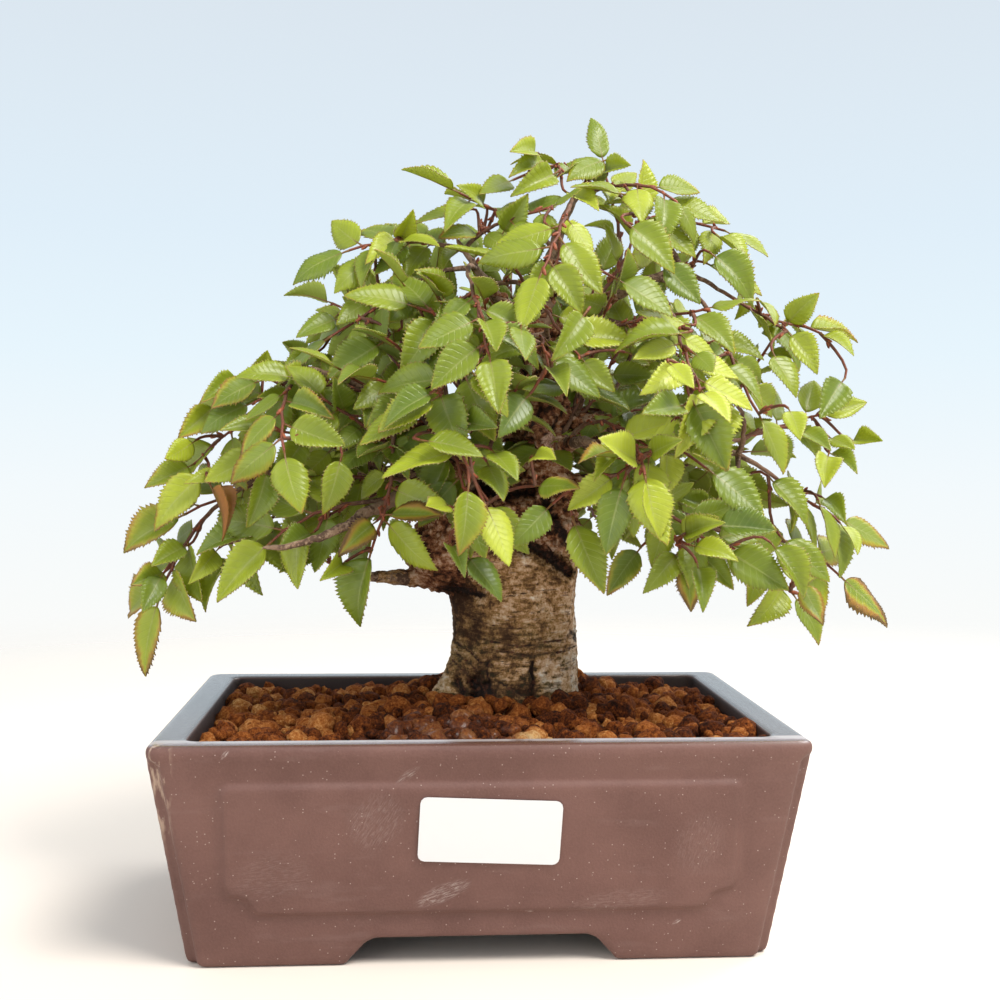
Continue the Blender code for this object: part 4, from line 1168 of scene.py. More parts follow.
class Blade:
    """One leaf's pleated skin, and the stalk that runs on under its midrib."""

    def __init__(self, seed):
        self.draw = Random(f"leaf shape {seed}")
        self.twist = self.draw.uniform(-0.5, 0.5)
        self.curl = self.draw.uniform(-0.15, 0.75)
        self.fold = self.draw.choice((0.15, 0.3, 0.45, 0.6, 0.85)) * self.draw.uniform(0.8, 1.2)
        self.cup = self.draw.uniform(-0.09, 0.05)
        self.wave = [self.draw.uniform(*limits) for limits in ((0.012, 0.042), (0, 2 * pi), (5.0, 9.0))]
        self.bend = self.draw.uniform(-0.14, 0.14)
        self.pleats = self.draw.choice((0.25, 0.5, 0.75, 1.1))
        self.width = self.draw.uniform(0.86, 1.08)
        if seed == DEAD_SHAPE:
            # A dead leaf dries into a narrow, twisted boat.
            self.twist, self.curl, self.fold, self.width = 1.1, 0.9, 1.7, 0.58
        self.lines = vein_lines()
        self.points = []
        self.marks = []
        self.faces = []

    def place(self, x, y, rise):
        """Bends a point across, along and over the leaf into this leaf's own form."""
        rise -= LEAF_ARCH * y * y + self.curl * max(0.0, y - 0.5) ** 2
        turn = self.twist * max(0.0, y - STALK)
        return x * cos(turn) + self.bend * y * y, y, rise + x * sin(turn)

    def add(self, x, u, mark, pleat=0.0):
        """A point of the blade from its shares across and along."""
        y = STALK + (1 - STALK) * u
        size, phase, pitch = self.wave
        out = abs(x) / HALF_WIDTH
        rise = (self.fold * abs(x) + pleat + self.cup * out * out
                + size * sin(pitch * y + phase + 2 * (x > 0)) * out)
        self.points.append(self.place(x * self.width, y, rise))
        self.marks.append(mark)
        return len(self.points) - 1

    def row(self, i, side, middle):
        """The points of one line from the midrib to the margin."""
        start, end, vein = self.lines[i]
        edge = half_width(end)
        reach = TOOTH * (edge / HALF_WIDTH) ** 0.5 * (1.0 if vein else 0.6) * self.draw.uniform(0.5, 1.3)
        row = [middle]
        for q in COLUMNS:
            out, u = q * edge, start + (end - start) * q ** 1.05
            if q == 1.0:
                out, u = out + 0.5 * reach, u + 0.75 * reach
            pleat = PLEAT * self.pleats * (1 - 0.35 * q) * (-1 if vein else 1)
            row.append(self.add(side * out, u, (i, 0.5 + 0.5 * side * q), pleat))
        return row

    def half(self, side, spine):
        """The blade on one side of the midrib."""
        rows = [self.row(i, side, middle) for i, middle in enumerate(spine)]
        for i, (row, after) in enumerate(zip(rows, rows[1:])):
            end = (self.lines[i][1] + self.lines[i + 1][1]) / 2
            notch = self.add(side * half_width(end) * NOTCH, end + 0.004, (i + 0.5, 0.5 + 0.47 * side))
            self.faces += [(row[0], row[1], after[1], after[0]), (row[1], row[2], notch),
                           (row[1], notch, after[1]), (after[1], notch, after[2])]
        return rows[-1]

    def stalk(self):
        """A thin tube from the twig that runs out under the midrib."""
        rings = []
        for u, radius in STALK_RINGS:
            ring = []
            for k in range(5):
                angle = 2 * pi * k / 5 + pi / 2
                sunk = -0.008 if u > STALK else 0.0
                self.points.append(self.place(radius * cos(angle), u, sunk + radius * sin(angle)))
                self.marks.append((-2.0, 0.5))
                ring.append(len(self.points) - 1)
            rings.append(ring)
        for ring, after in zip(rings, rings[1:]):
            self.faces += [(ring[k], ring[k - 1], after[k - 1], after[k]) for k in range(5)]
        self.faces += [tuple(rings[0]), tuple(rings[-1][::-1])]

    def build(self, name):
        """The whole leaf as an object of length 1, with its thickness and its stalk."""
        spine = [self.add(0.0, start, (i, 0.5)) for i, (start, end, vein) in enumerate(self.lines)]
        tip = self.add(0.0, 1.0, (len(self.lines), 0.5))
        for side in (1, -1):
            last = self.half(side, spine)
            self.faces += [(last[0], last[1], tip), (last[1], last[2], tip)]
        blade = marked_skin(name, self.points, self.faces, self.marks, upwards=True)
        wall = blade.modifiers.new("thickness", "SOLIDIFY")
        wall.thickness = BLADE_THICKNESS
        wall.offset = -1.0
        solid = plain_copy(blade, name)
        bpy.data.objects.remove(blade)
        upper = len(self.points)
        self.points, self.marks, self.faces = [], [], []
        self.stalk()
        stalk = marked_skin(name + "_stalk", self.points, self.faces, self.marks)
        # Solidify puts the lower face's points after those of the upper face.
        for piece, first_lower in ((solid, upper), (stalk, len(self.points))):
            layer = piece.data.attributes.new("under", "FLOAT", "POINT")
            for number, value in enumerate(layer.data):
                value.value = float(number >= first_lower)
        return join(name, solid, stalk)


def marked_skin(name, points, faces, marks, upwards=False):
    """A mesh whose faces point out, or up, with each point's mark as its UV map."""
    made = mesh_object(name, points, (), faces)
    shape = bmesh.new()
    shape.from_mesh(made.data)
    bmesh.ops.recalc_face_normals(shape, faces=shape.faces)
    if upwards and sum(face.normal.z for face in shape.faces) < 0:
        bmesh.ops.reverse_faces(shape, faces=shape.faces)
    layer = shape.loops.layers.uv.new("veins")
    for face in shape.faces:
        for loop in face.loops:
            loop[layer].uv = marks[loop.vert.index]
    shape.to_mesh(made.data)
    shape.free()
    return made


def join(name, *pieces):
    """Puts several objects' meshes into one new object, and removes them."""
    shape = bmesh.new()
    for piece in pieces:
        shape.from_mesh(piece.data)
        bpy.data.objects.remove(piece)
    return add_shape(name, shape)


leaf_shapes = bpy.data.collections.new("leaf_shapes")
for seed in range(LEAF_SHAPES + 1):
    shape = Blade(seed).build(f"leaf_{seed}")
    bpy.context.scene.collection.objects.unlink(shape)
    leaf_shapes.objects.link(shape)
print(LEAF_SHAPES, "leaf shapes and a dead one, of", triangles(shape), "triangles")

# %% [markdown]
# ## The leaf's colour
#
# Each leaf carries three numbers of its own: how young it is, which turns it from deep green to a bright
# yellow green, how dry, which lets yellow, red and then brown creep in from its margin and its tip, and one
# drawn by chance, which sets its rust and its rim apart from its neighbours'. The upper face is dark and
# glossy and the lower one pale and matt. The teeth end in a thin red-brown line with pale points, partly the
# teeth's own pale tips and partly painted highlights. Light also passes through a leaf, so part of the shader
# is translucent.

# %% Leaf finish
SHINE_THROUGH = 0.36
leaf_green = Finish("leaf_green")
marks = leaf_green.node("ShaderNodeUVMap", {"uv_map": "veins"})["UV"]
line, out = leaf_green.split(marks)[0], abs(leaf_green.split(marks)[1] - 0.5) * 2
along = line * (1 / (2 * VEINS))
young, dry, chance, under = [leaf_green.attribute(name) for name in ("young", "dry", "chance", "under")]
to_vein = abs((line * 0.5 + 0.5).sum("FRACT") - 0.5) * 2
vein = to_vein.between(0.24, 0.03)
rib = out.between(0.085, 0.02)
fine = leaf_green.grain(330, 4, 0.62)
broad = leaf_green.grain(85, 3, 0.6)
shade = young + (broad - 0.5) * 0.42 + out * out * 0.1 + (chance - 0.5) * 0.16
green = leaf_green.ramp(shade, (0.0, (0.07, 0.128, 0.02)), (0.28, (0.16, 0.228, 0.02)),
                        (0.52, (0.255, 0.315, 0.019)), (0.76, (0.42, 0.48, 0.03)),
                        (1.0, (0.58, 0.64, 0.065)))
green = leaf_green.layers(
    green, ((fine - 0.5) * 0.55 + 0.06, (0.25, 0.29, 0.075)),
    ((vein * 0.15 + rib * 0.42).sum("MINIMUM", 0.5), (0.5, 0.54, 0.17)),
    (under * 0.42, (0.245, 0.3, 0.085)))
reach = out * 0.78 + (fine - 0.5) * 0.42 + (broad - 0.5) * 0.35 + along ** 3 * 0.34 + dry * 0.72
yellow = reach.between(0.86, 1.14)
red = reach.between(1.06, 1.22)
brown = reach.between(1.24, 1.4)
rusty = leaf_green.mix(chance, (0.34, 0.095, 0.03), (0.42, 0.2, 0.045))
withered = leaf_green.mix(dry.between(1.0, 1.25), (0.105, 0.038, 0.018), (0.36, 0.125, 0.036))
rim = (out + (fine - 0.5) * 0.1).between(0.935, 0.975) * (chance + (broad - 0.5) * 0.9).between(0.0, 0.42)
# Pale tooth points: partly the teeth's own pale tips, partly painted highlights.
teeth = out.between(0.975, 0.995) * (1 - dry).between(0.2, 0.6)
stalk = line.between(-0.5, -1.5)
colour = leaf_green.layers(
    green, (yellow * 0.72, (0.46, 0.4, 0.035)), (red * 0.8, rusty), (brown * 0.85, withered),
    (rim * 0.72, (0.3, 0.105, 0.045)), (teeth * 0.6, (0.76, 0.7, 0.42)), (stalk, (0.215, 0.07, 0.035)))
leaf_green.set(Base_Color=colour, Roughness=0.33 + under * 0.33 + dry * 0.12, Specular_IOR_Level=0.55)
leaf_green.set(Normal=leaf_green.bump(fine * 0.5 - vein * 0.5, 0.00022, 0.6))
through = leaf_green.node("ShaderNodeBsdfTranslucent", {}, {"Color": (0.6, 0.64, 0.045, 1.0)})
mixed = leaf_green.node("ShaderNodeMixShader", {}, {0: SHINE_THROUGH, 1: leaf_green.shader[0], 2: through[0]})
end = leaf_green.tree.nodes["Material Output"]
leaf_green.tree.links.new(mixed[0].socket, end.inputs["Surface"])
print("the leaf's finish has", len(leaf_green.tree.nodes), "nodes")


# %% [markdown]
# ## Leaves on the shoots
#
# Every leaf becomes one point that carries its turn, its length and which shape it takes, and one geometry
# tree puts a leaf shape on each. The leaves are kept in five groups by where they grow, and each group takes
# the place of its own measured sprays.

# %% Groups and points
REGIONS = ("leaves_back", "leaves_crown", "leaves_left", "leaves_right", "leaves_front")
all_shoots = {**shoots, **extra_shoots}
YOUNG = {"bright_left": 0.95, "bright_right": 1.0, "bright_low_left": 0.75, "bright_low_right": 0.8,
         "front_mid_right": 0.6, "crown_right": 0.7, "high_right_front": 0.55, "front_high": 0.6}
DRY = {"low_left_far": 0.55, "droop_left": 0.6, "low_right_far": 0.45, "low_right_inner": 0.45,
       "front_left_low": 0.5, "mid_left": 0.4}
BURNT = {("low_right_far", 5): 0.98, ("low_right_far", 3): 0.6, ("far_right", 5): 0.66,
         ("droop_left", 5): 0.72, ("upper_right_far", 5): 0.5}


def region(leaf):
    """The group that a leaf belongs to, by the end of its shoot or by its own foot."""
    place = all_shoots[leaf.spray][1].points[-1] if leaf.spray in all_shoots else leaf.base
    if place.y > 42:
        return "leaves_back"
    if place.z > 205:
        return "leaves_crown"
    if place.x < -30:
        return "leaves_left"
    return "leaves_right" if place.x > 68 else "leaves_front"


def leaf_carrier(name, group):
    """One point for each leaf, with what the geometry tree needs to know about it."""
    carried = {name: [] for name in ("turn", "size", "kind", "young", "dry", "chance")}
    for leaf in group:
        draw = Random(f"{leaf.spray} looks {leaf.number}")
        kind = draw.randrange(LEAF_SHAPES)
        out = min(1.0, (leaf.base - CROWN).length / 115)
        young, dry = LOOKS.get(leaf.spray, (None, None))
        if young is None:
            young = YOUNG.get(leaf.spray, 0.22 + 0.22 * out) + draw.uniform(-0.14, 0.2)
            dry = DRY.get(leaf.spray, 0.12) * draw.uniform(0.0, 1.0) + 0.26 * out * draw.random() ** 2
            dry = BURNT.get((leaf.spray, leaf.number), dry)
        kind = DEAD_SHAPE if dry > 1.2 else kind
        row = (leaf.turn(), leaf.length * MILLIMETRE, kind, young, dry, draw.random())
        for values, value in zip(carried.values(), row):
            values.append(value)
    return mesh_object(name, [in_metres(leaf.base) for leaf in group], **carried)


leaf_grower = Grower("put_leaves", leaf_green, Growth=1.0)
shapes = leaf_grower.node("GeometryNodeCollectionInfo", {}, {
    "Collection": leaf_shapes, "Separate Children": True, "Reset Children": True})
put = leaf_grower.node("GeometryNodeInstanceOnPoints", {}, {
    "Points": leaf_grower.given["Carrier"], "Instance": shapes[0], "Pick Instance": True,
    "Instance Index": leaf_grower.named("kind", "INT"), "Rotation": leaf_grower.named("turn", "QUATERNION"),
    "Scale": leaf_grower.named("size") * leaf_grower.given["Growth"]})
leaf_grower.end(put["Instances"])

for name in REGIONS:
    group = [leaf for leaf in leaves if region(leaf) == name]
    piece = leaf_grower.grow(leaf_carrier(name, group), name)
    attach(piece, "root")
    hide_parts(*sorted({f"spray_{leaf.spray}" for leaf in group if leaf.spray in shoots}))
    print(name, len(group), "leaves,", triangles(piece), "triangles")


# %% [markdown]
# ## Twigs
#
# A hornbeam's twig is red brown in its first year, turns grey as it thickens, and bends a little at each
# leaf. A tube of one radius would look like wire, so each shoot is a line of points that carry their own
# radius and age, and a geometry tree turns the lines into tubes.

# %% Twig lines
TWIG_TIP = 0.42
TWIG_FOOT = 0.62
BRANCH_FOOT = 1.0
ZIGZAG = 0.35
TWIG_STEP = 2.6
TWIG_SIDES = 7


def chain(first, count):
    """Edges that join points in a row."""
    return [(first + k, first + k + 1) for k in range(count - 1)]


def twig_line(name, path, sprig):
    """A shoot's points from its limb to its last leaf, with their radii and ages."""
    length = sum((b - a).length for a, b in zip(path, path[1:]))
    twig = INTERNODE * sprig.leaves
    count = max(3, round((length - twig) / TWIG_STEP))
    branch = at_lengths(path, [length - (length - twig) * k / count for k in range(count)])
    first_side = Random(f"{name} first side").choice((0, 1))
    line, radii, ages = [], [], []
    draw = Random(f"{name} bark")
    for k, point in enumerate(branch):
        share = k / count
        wobble = jitter(draw, 1) * 0.3 * min(1.0, 2 * share)
        line.append(point + wobble)
        radii.append((BRANCH_FOOT + (TWIG_FOOT - BRANCH_FOOT) * share ** 0.7) * draw.uniform(0.93, 1.1))
        ages.append(1 - 0.55 * share)
    for k, (centre, along, upper, right) in enumerate(sprig.frames()):
        side = 1 if (k + first_side) % 2 else -1
        line.append(centre + right * (side * ZIGZAG * (k < sprig.leaves)))
        radii.append(TWIG_FOOT + (TWIG_TIP - TWIG_FOOT) * k / sprig.leaves)
        ages.append(0.45 - 0.4 * k / sprig.leaves)
    return line, radii, ages


def twig_carrier(name):
    """All the shoots as lines of edges."""
    points, edges, radii, ages = [], [], [], []
    for shoot, (path, sprig) in all_shoots.items():
        line, line_radii, line_ages = twig_line(shoot, path, sprig)
        edges += chain(len(points), len(line))
        points += [in_metres(point) for point in line]
        radii += [radius * MILLIMETRE for radius in line_radii]
        ages += line_ages
    for path in spurs:
        line = path[::8]
        shares = [k / (len(line) - 1) for k in range(len(line))]
        edges += chain(len(points), len(line))
        points += [in_metres(point) for point in line]
        radii += [(TWIG_FOOT + (TWIG_TIP - TWIG_FOOT) * share) * MILLIMETRE for share in shares]
        ages += [0.5 - 0.45 * share for share in shares]
    return mesh_object(name, points, edges, radius=radii, age=ages)


twig_bark = Finish("twig_bark")
age = twig_bark.attribute("age")
grain = twig_bark.grain(900, 4, 0.6)
patch = twig_bark.grain(230, 3)
wide = twig_bark.grain(90, 3, 0.6)
colour = twig_bark.ramp(age + (patch - 0.5) * 0.6, (0.0, (0.2, 0.052, 0.026)),
                        (0.35, (0.125, 0.042, 0.023)), (0.7, (0.17, 0.092, 0.056)),
                        (1.0, (0.24, 0.15, 0.095)))
colour = twig_bark.layers(
    colour, (grain.between(0.52, 0.72) * age * 0.5, (0.42, 0.32, 0.22)),
    ((wide + (grain - 0.5) * 0.8).between(0.5, 0.38) * age * 0.8, (0.05, 0.024, 0.015)))
twig_bark.set(Base_Color=colour, Roughness=age * 0.35 + 0.45, Specular_IOR_Level=0.3)
twig_bark.set(Normal=twig_bark.bump(grain, 0.00035, 0.8))

twig_grower = Grower("twigs_from_lines", twig_bark, Sides=TWIG_SIDES, Knobs=0.12)
lines = twig_grower.node("GeometryNodeMeshToCurve", {}, {"Mesh": twig_grower.given["Carrier"]})["Curve"]
ring = twig_grower.node("GeometryNodeCurvePrimitiveCircle", {}, {
    "Resolution": twig_grower.given["Sides"], "Radius": 1.0})["Curve"]
tubes = twig_grower.node("GeometryNodeCurveToMesh", {}, {
    "Curve": lines, "Profile Curve": ring, "Scale": twig_grower.named("radius"), "Fill Caps": True})
where = twig_grower.node("GeometryNodeInputPosition")[0]
lump = twig_grower.given["Knobs"] * twig_grower.named("radius")
knob = (twig_grower.noise(where, 650.0, 3, 0.6) - 0.5) * 2 * lump
twig_grower.end(twig_grower.pushed(tubes["Mesh"], knob))
twigs = twig_grower.grow(twig_carrier("twigs"), "twigs")
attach(twigs, "root")
print("twigs:", triangles(twigs), "triangles")

# %% [markdown]
# ## Bud scales
#
# A new shoot pushes out of a slender red brown bud, whose papery scales stay round its foot for the summer,
# and next year's buds already stand above the leaf stalks. They are too many to place by hand, so three or
# four scales go round each shoot's foot and one bud on some of its nodes.

# %% Put the buds
BUD_SIZE = 0.62
SCALES = (3, 4)
BUD_SHARE = 0.45


def bud_carrier(name):
    """One point for each bud or scale, with the way that it points and its size."""
    draw = Random("bud scales")
    places, ways, sizes = [], [], []
    feet = [(sprig.foot, sprig.along[0]) for path, sprig in all_shoots.values()]
    feet += [(path[8], (path[12] - path[8]).normalized()) for path in spurs]
    for foot, along in feet:
        for scale in range(draw.randint(*SCALES)):
            aside = across(along, Vector([draw.gauss(0, 1) for axis in range(3)]))
            places.append(foot + aside * draw.uniform(0.4, 0.7) + along * draw.uniform(-1.5, 1.8))
            ways.append((along + aside * draw.uniform(0.3, 0.8)).normalized())
            sizes.append(draw.uniform(0.55, 1.0))
    for path, sprig in all_shoots.values():
        for centre, along, upper, right in list(sprig.frames())[1:]:
            if draw.random() < BUD_SHARE:
                aside = right * draw.choice((-1, 1)) + upper * draw.uniform(0, 0.6)
                places.append(centre + aside.normalized() * 0.6)
                ways.append((along + aside * draw.uniform(0.4, 0.9)).normalized())
                sizes.append(draw.uniform(0.7, 1.25))
    return mesh_object(name, [in_metres(place) for place in places],
                       turn=[way.to_track_quat("Z", "Y") for way in ways],
                       size=[size * BUD_SIZE * MILLIMETRE for size in sizes])


bud_brown = Finish("bud_brown")
tone = bud_brown.grain(500, 3, 0.6)
bud_brown.set(Base_Color=bud_brown.ramp(tone, (0.35, (0.13, 0.028, 0.012)), (0.62, (0.3, 0.085, 0.036))),
              Roughness=0.55, Specular_IOR_Level=0.3)
bud_grower = Grower("put_buds", bud_brown, Length=2.9)
ball = bud_grower.node("GeometryNodeMeshUVSphere", {}, {"Segments": 5, "Rings": 4, "Radius": 1.0})["Mesh"]
slender = bud_grower.done("Transform", ball, Scale=bud_grower.join(1.0, 1.0, bud_grower.given["Length"]))
set_on = bud_grower.node("GeometryNodeInstanceOnPoints", {}, {
    "Points": bud_grower.given["Carrier"], "Instance": slender,
    "Rotation": bud_grower.named("turn", "QUATERNION"), "Scale": bud_grower.named("size")})
bud_grower.end(set_on["Instances"])
buds = bud_grower.grow(bud_carrier("buds"), "buds")
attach(buds, "root")
print("buds:", triangles(buds), "triangles")


# %% [markdown]
# ## The trunk
#
# Decades of pruning leave a bonsai's trunk short, fat and scarred: roots flare into the soil, a burl swells
# where old cuts healed over, and hollows show dark wood, painted darker still with the shade in their depths.
# Instead of sculpting it by hand, simple closed forms are melted into one skin by a voxel remesh and carved
# along lines that are given where the camera sees them. Last, a geometry tree raises the bark, which is
# grainy on the column and crumbly on the burl.

# %% Solid forms that melt into one trunk
COLUMN_SIDES = 80
COLUMN_STEP = 1.0
VOXEL = 0.78
LIMB_STUB = 13.0


def ring_values(height):
    """The trunk's centre and half sizes at a height, read smoothly from its rings."""
    reach = np.linspace(-4, 4, 9)
    heights = [ring[0] for ring in TRUNK_RINGS]
    return [np.interp(height + reach, heights, [ring[k] for ring in TRUNK_RINGS]).mean() for k in range(1, 5)]


def column_ring(height):
    """One outline of the trunk, drawn out into roots near the soil."""
    centre_x, centre_y, half_x, half_y = ring_values(height)
    spread = max(0.0, min(1.0, (86 - height) / 22)) ** 2
    ring = []
    for k in range(COLUMN_SIDES):
        degrees = 360 * k / COLUMN_SIDES
        root = sum(reach * exp(-(((degrees - way + 180) % 360 - 180) / 17) ** 2) for way, reach in ROOTS)
        flute = 0.5 * sin(radians(5 * degrees + 2 * height)) + 0.35 * sin(radians(9 * degrees - 3 * height))
        out = Vector((half_x * cos(radians(degrees)), half_y * sin(radians(degrees)), 0))
        out *= (out.length + root * spread + flute) / out.length
        ring.append(Vector((centre_x, centre_y, height)) + out)
    return ring


def column():
    heights = np.arange(46.0, 145.0, COLUMN_STEP)
    return loft([column_ring(height) for height in heights])


def burl():
    """The knotted lump at the left of the fork."""
    shape = bmesh.new()
    bmesh.ops.create_icosphere(shape, subdivisions=4, radius=1.0)
    points = [BURL + resized(vertex.co, BURL_SIZE) * 0.98 for vertex in shape.verts]
    faces = [tuple(vertex.index for vertex in face.verts) for face in shape.faces]
    shape.free()
    return points, faces


def limb_foot(name):
    """The first stretch of a limb, wider where it leaves the trunk."""
    path, radii = limb_path(name, 2.0)
    reach = {"upper_trunk": 999.0, "leader": 45.0}.get(name, 30.0)
    count = sum(1 for point in path if (point - path[0]).length < reach)
    draw = Random(f"{name} gnarl")
    flare = [1 + 0.35 * exp(-max(0.0, (point - path[0]).length - LIMB_STUB) / 5) for point in path]
    radii = [radius * wide * draw.uniform(0.94, 1.08) for radius, wide in zip(radii, flare)]
    return loft(tube_rings(path[:count], radii[:count], 14, Vector((0.1, 0.2, 1))))


solids = [column(), burl(), *[limb_foot(name) for name in LIMBS]]
forms = [mesh_object(f"form_{number}", points, (), faces) for number, (points, faces) in enumerate(solids)]
raw_trunk = join("raw_trunk", *forms)
remesh = raw_trunk.modifiers.new("melt", "REMESH")
remesh.mode = "VOXEL"
remesh.voxel_size = VOXEL
melted = plain_copy(raw_trunk, "melted")
bpy.data.objects.remove(raw_trunk)
print("the melted trunk has", triangles(melted), "triangles")

# %% Hollows, cracks and patches as they are seen
# Each carving is a line in the picture, its reach above and below the line, and its depth in millimetres.
CARVED = (
    (((517, 546), (534, 549), (552, 560), (568, 573)), 8.5, 5.0, 6.0),
    (((571, 549), (576, 556)), 4.0, 4.0, 2.5),
    (((476, 485), (502, 494), (530, 491)), 9.0, 7.0, 5.0),
    (((545, 500), (556, 522), (566, 540)), 6.0, 6.0, 2.5),
    (((440, 588), (462, 589), (482, 595)), 4.0, 4.0, 3.0),
    (((474, 683), (480, 690), (476, 699)), 8.0, 8.0, 5.0),
    (((487, 686), (490, 699)), 5.0, 6.0, 3.0),
    (((457, 682), (463, 691)), 4.5, 5.0, 2.4),
    (((533, 662), (531, 673), (534, 682), (530, 692), (534, 702)), 2.0, 2.0, 1.7),
    (((489, 660), (486, 669), (489, 680)), 2.0, 2.0, 1.2),
    (((497, 660), (508, 662)), 1.4, 1.4, 0.6),
    (((505, 668), (517, 671)), 1.4, 1.4, 0.6),
    (((452, 660), (462, 670), (472, 679)), 1.6, 1.6, 0.8),
    (((484, 640), (520, 647), (560, 640), (578, 636)), 1.7, 1.7, 0.9),
    (((492, 650), (530, 656), (562, 652), (578, 645)), 1.7, 1.7, 1.0),
    (((455, 642), (470, 652), (482, 664)), 1.8, 1.8, 0.9),
    (((456, 653), (468, 662), (478, 673)), 1.6, 1.6, 0.8),
    (((500, 683), (515, 690), (528, 700)), 1.8, 1.8, 1.0),
    (((505, 597), (530, 592), (556, 590)), 1.3, 1.3, 0.5),
    (((470, 618), (500, 628), (530, 630)), 1.3, 1.3, 0.5),
    (((572, 632), (576, 640)), 3.0, 3.0, 1.4),
    (((524, 436), (536, 418), (542, 404)), 2.5, 2.5, 1.2),
    (((553, 412), (557, 420), (552, 428)), 2.2, 2.2, 1.2),
)
# Each patch is an oval in the picture: its middle, its half sizes, and how much lighter it is. Most give the
# bark its own pale and dark tone. The dark ones down the trunk's left side and in its hollows are partly
# painted shade, and the long pale one down its right edge is a painted highlight.
PAINTED = (
    (535, 588, 36, 34, 0.14), (505, 600, 24, 30, 0.04), (466, 622, 20, 44, -0.32), (453, 600, 12, 26, -0.24),
    (556, 676, 23, 30, 0.24), (438, 682, 12, 16, 0.12), (577, 625, 6, 85, 0.5), (515, 646, 52, 12, -0.16),
    (478, 684, 14, 14, -0.32), (522, 694, 26, 14, -0.24), (505, 668, 14, 18, 0.02), (440, 545, 30, 30, -0.04),
    (428, 574, 22, 12, 0.12), (556, 545, 9, 10, 0.34), (575, 560, 5, 12, 0.3), (437, 534, 9, 8, 0.36),
    (452, 556, 7, 5, 0.22), (418, 560, 8, 8, 0.16), (424, 578, 10, 5, -0.2), (492, 664, 5, 20, -0.2),
    (462, 655, 12, 14, 0.1), (533, 676, 4, 24, -0.2), (500, 632, 34, 8, -0.1),
)


def marks_in_picture(points, normals):
    """The pixels of points, how squarely they face the camera, and the ways to them."""
    way = points - np.array(EYE)
    scale = FOCAL_PIXELS / (way @ np.array(forward))
    u = PICTURE_PIXELS / 2 + way @ np.array(right_hand) * scale
    v = PICTURE_PIXELS / 2 - way @ np.array(upward) * scale
    way /= np.linalg.norm(way, axis=1)[:, None]
    facing = -(normals * way).sum(axis=1)
    return u, v, np.clip(facing * 4, 0, 1), way


def off_segment(x, y, start, end):
    """How far points are from the nearest point of a segment, as two numbers each."""
    run, rise = end[0] - start[0], end[1] - start[1]
    share = np.clip(((x - start[0]) * run + (y - start[1]) * rise) / (run * run + rise * rise), 0, 1)
    return x - start[0] - share * run, y - start[1] - share * rise


def near_line(u, v, line, above, below):
    """1 on a line in the picture, falling away raggedly to the reach above and below it."""
    closest = np.full(len(u), 99.0)
    for start, end in zip(line, line[1:]):
        off_u, off_v = off_segment(u, v, start, end)
        closest = np.minimum(closest, np.hypot(off_u, off_v) / np.where(off_v > 0, below, above))
    torn = np.sin(0.8 * u + 2 * np.sin(0.5 * v)) * np.sin(1.0 * v + 2 * np.sin(0.6 * u))
    return np.exp(-(closest * (1 + 0.32 * torn)) ** 2)


def read_rows(items, name):
    """A vector of each item, as the rows of a table."""
    values = np.empty(len(items) * 3)
    items.foreach_get(name, values)
    return values.reshape(-1, 3)


def carve(piece):
    """Pushes the skin away from the camera along each carving, and marks what the bark needs."""
    mesh = piece.data
    count = len(mesh.vertices)
    points, normals = read_rows(mesh.vertices, "co"), read_rows(mesh.vertex_normals, "vector")
    u, v, seen, way = marks_in_picture(points, normals)
    hollow, sink = np.zeros(count), np.zeros(count)
    for line, above, below, depth in CARVED:
        near = near_line(u, v, line, above, below) * seen
        sink = np.maximum(sink, depth * near)
        hollow = np.maximum(hollow, near * min(1.0, 0.55 + depth / 8))
    # The ovals lighten or darken the bark: its own tone, plus painted shade on the left side and in the
    # hollows, and a painted highlight down the right edge.
    light = np.full(count, 0.5)
    for middle_u, middle_v, half_u, half_v, change in PAINTED:
        light += change * seen * np.exp(-((u - middle_u) / half_u) ** 2 - ((v - middle_v) / half_v) ** 2)
    points += way * sink[:, None]
    to_burl = np.linalg.norm((points - np.array(BURL)) / np.array(BURL_SIZE), axis=1)
    upper = np.clip((points[:, 2] - 114) / 8, 0, 1)
    rough = np.maximum(np.clip(1.7 - to_burl, 0, 1), upper)
    # The limbs keep a finer bark than the trunk that they leave.
    spread = np.linalg.norm(points[:, :2] - np.array((18.0, 14.0)), axis=1)
    thick = np.clip(1.15 - (spread - 16) / 16, 0.25, 1)
    thick = np.where(points[:, 2] < 112, 1.0, np.where(to_burl < 1.3, 1.0, thick))
    cut_end = np.array(limb_path("stub", 2.0)[0][-1])
    cut = np.exp(-(np.linalg.norm(points - cut_end, axis=1) / 3.4) ** 4)
    mesh.vertices.foreach_set("co", ((points * MILLIMETRE) + np.array(POT_PLACE)).ravel())
    kept = {"hollow": hollow, "rough": rough, "thick": thick, "light": light, "cut": cut}
    for name, values in kept.items():
        mesh.attributes.new(name, "FLOAT", "POINT").data.foreach_set("value", values)
    mesh.update()


carve(melted)
print("carved", len(CARVED), "hollows and cracks")

# %% Bark
CRUMB_SCALE = 380.0
grey_bark = Finish("grey_bark")
bark = Grower("raise_bark", grey_bark, Bands=0.00042, Knobs=0.002, Crumbs=0.0017, Grain=0.0006)
place = bark.node("GeometryNodeInputPosition")[0]


def ridges(value):
    """Turns a noise into sharp creases: 0 in the crease and 1 well away from it."""
    return (abs(value - 0.5) * 7).sum("MINIMUM", 1.0)


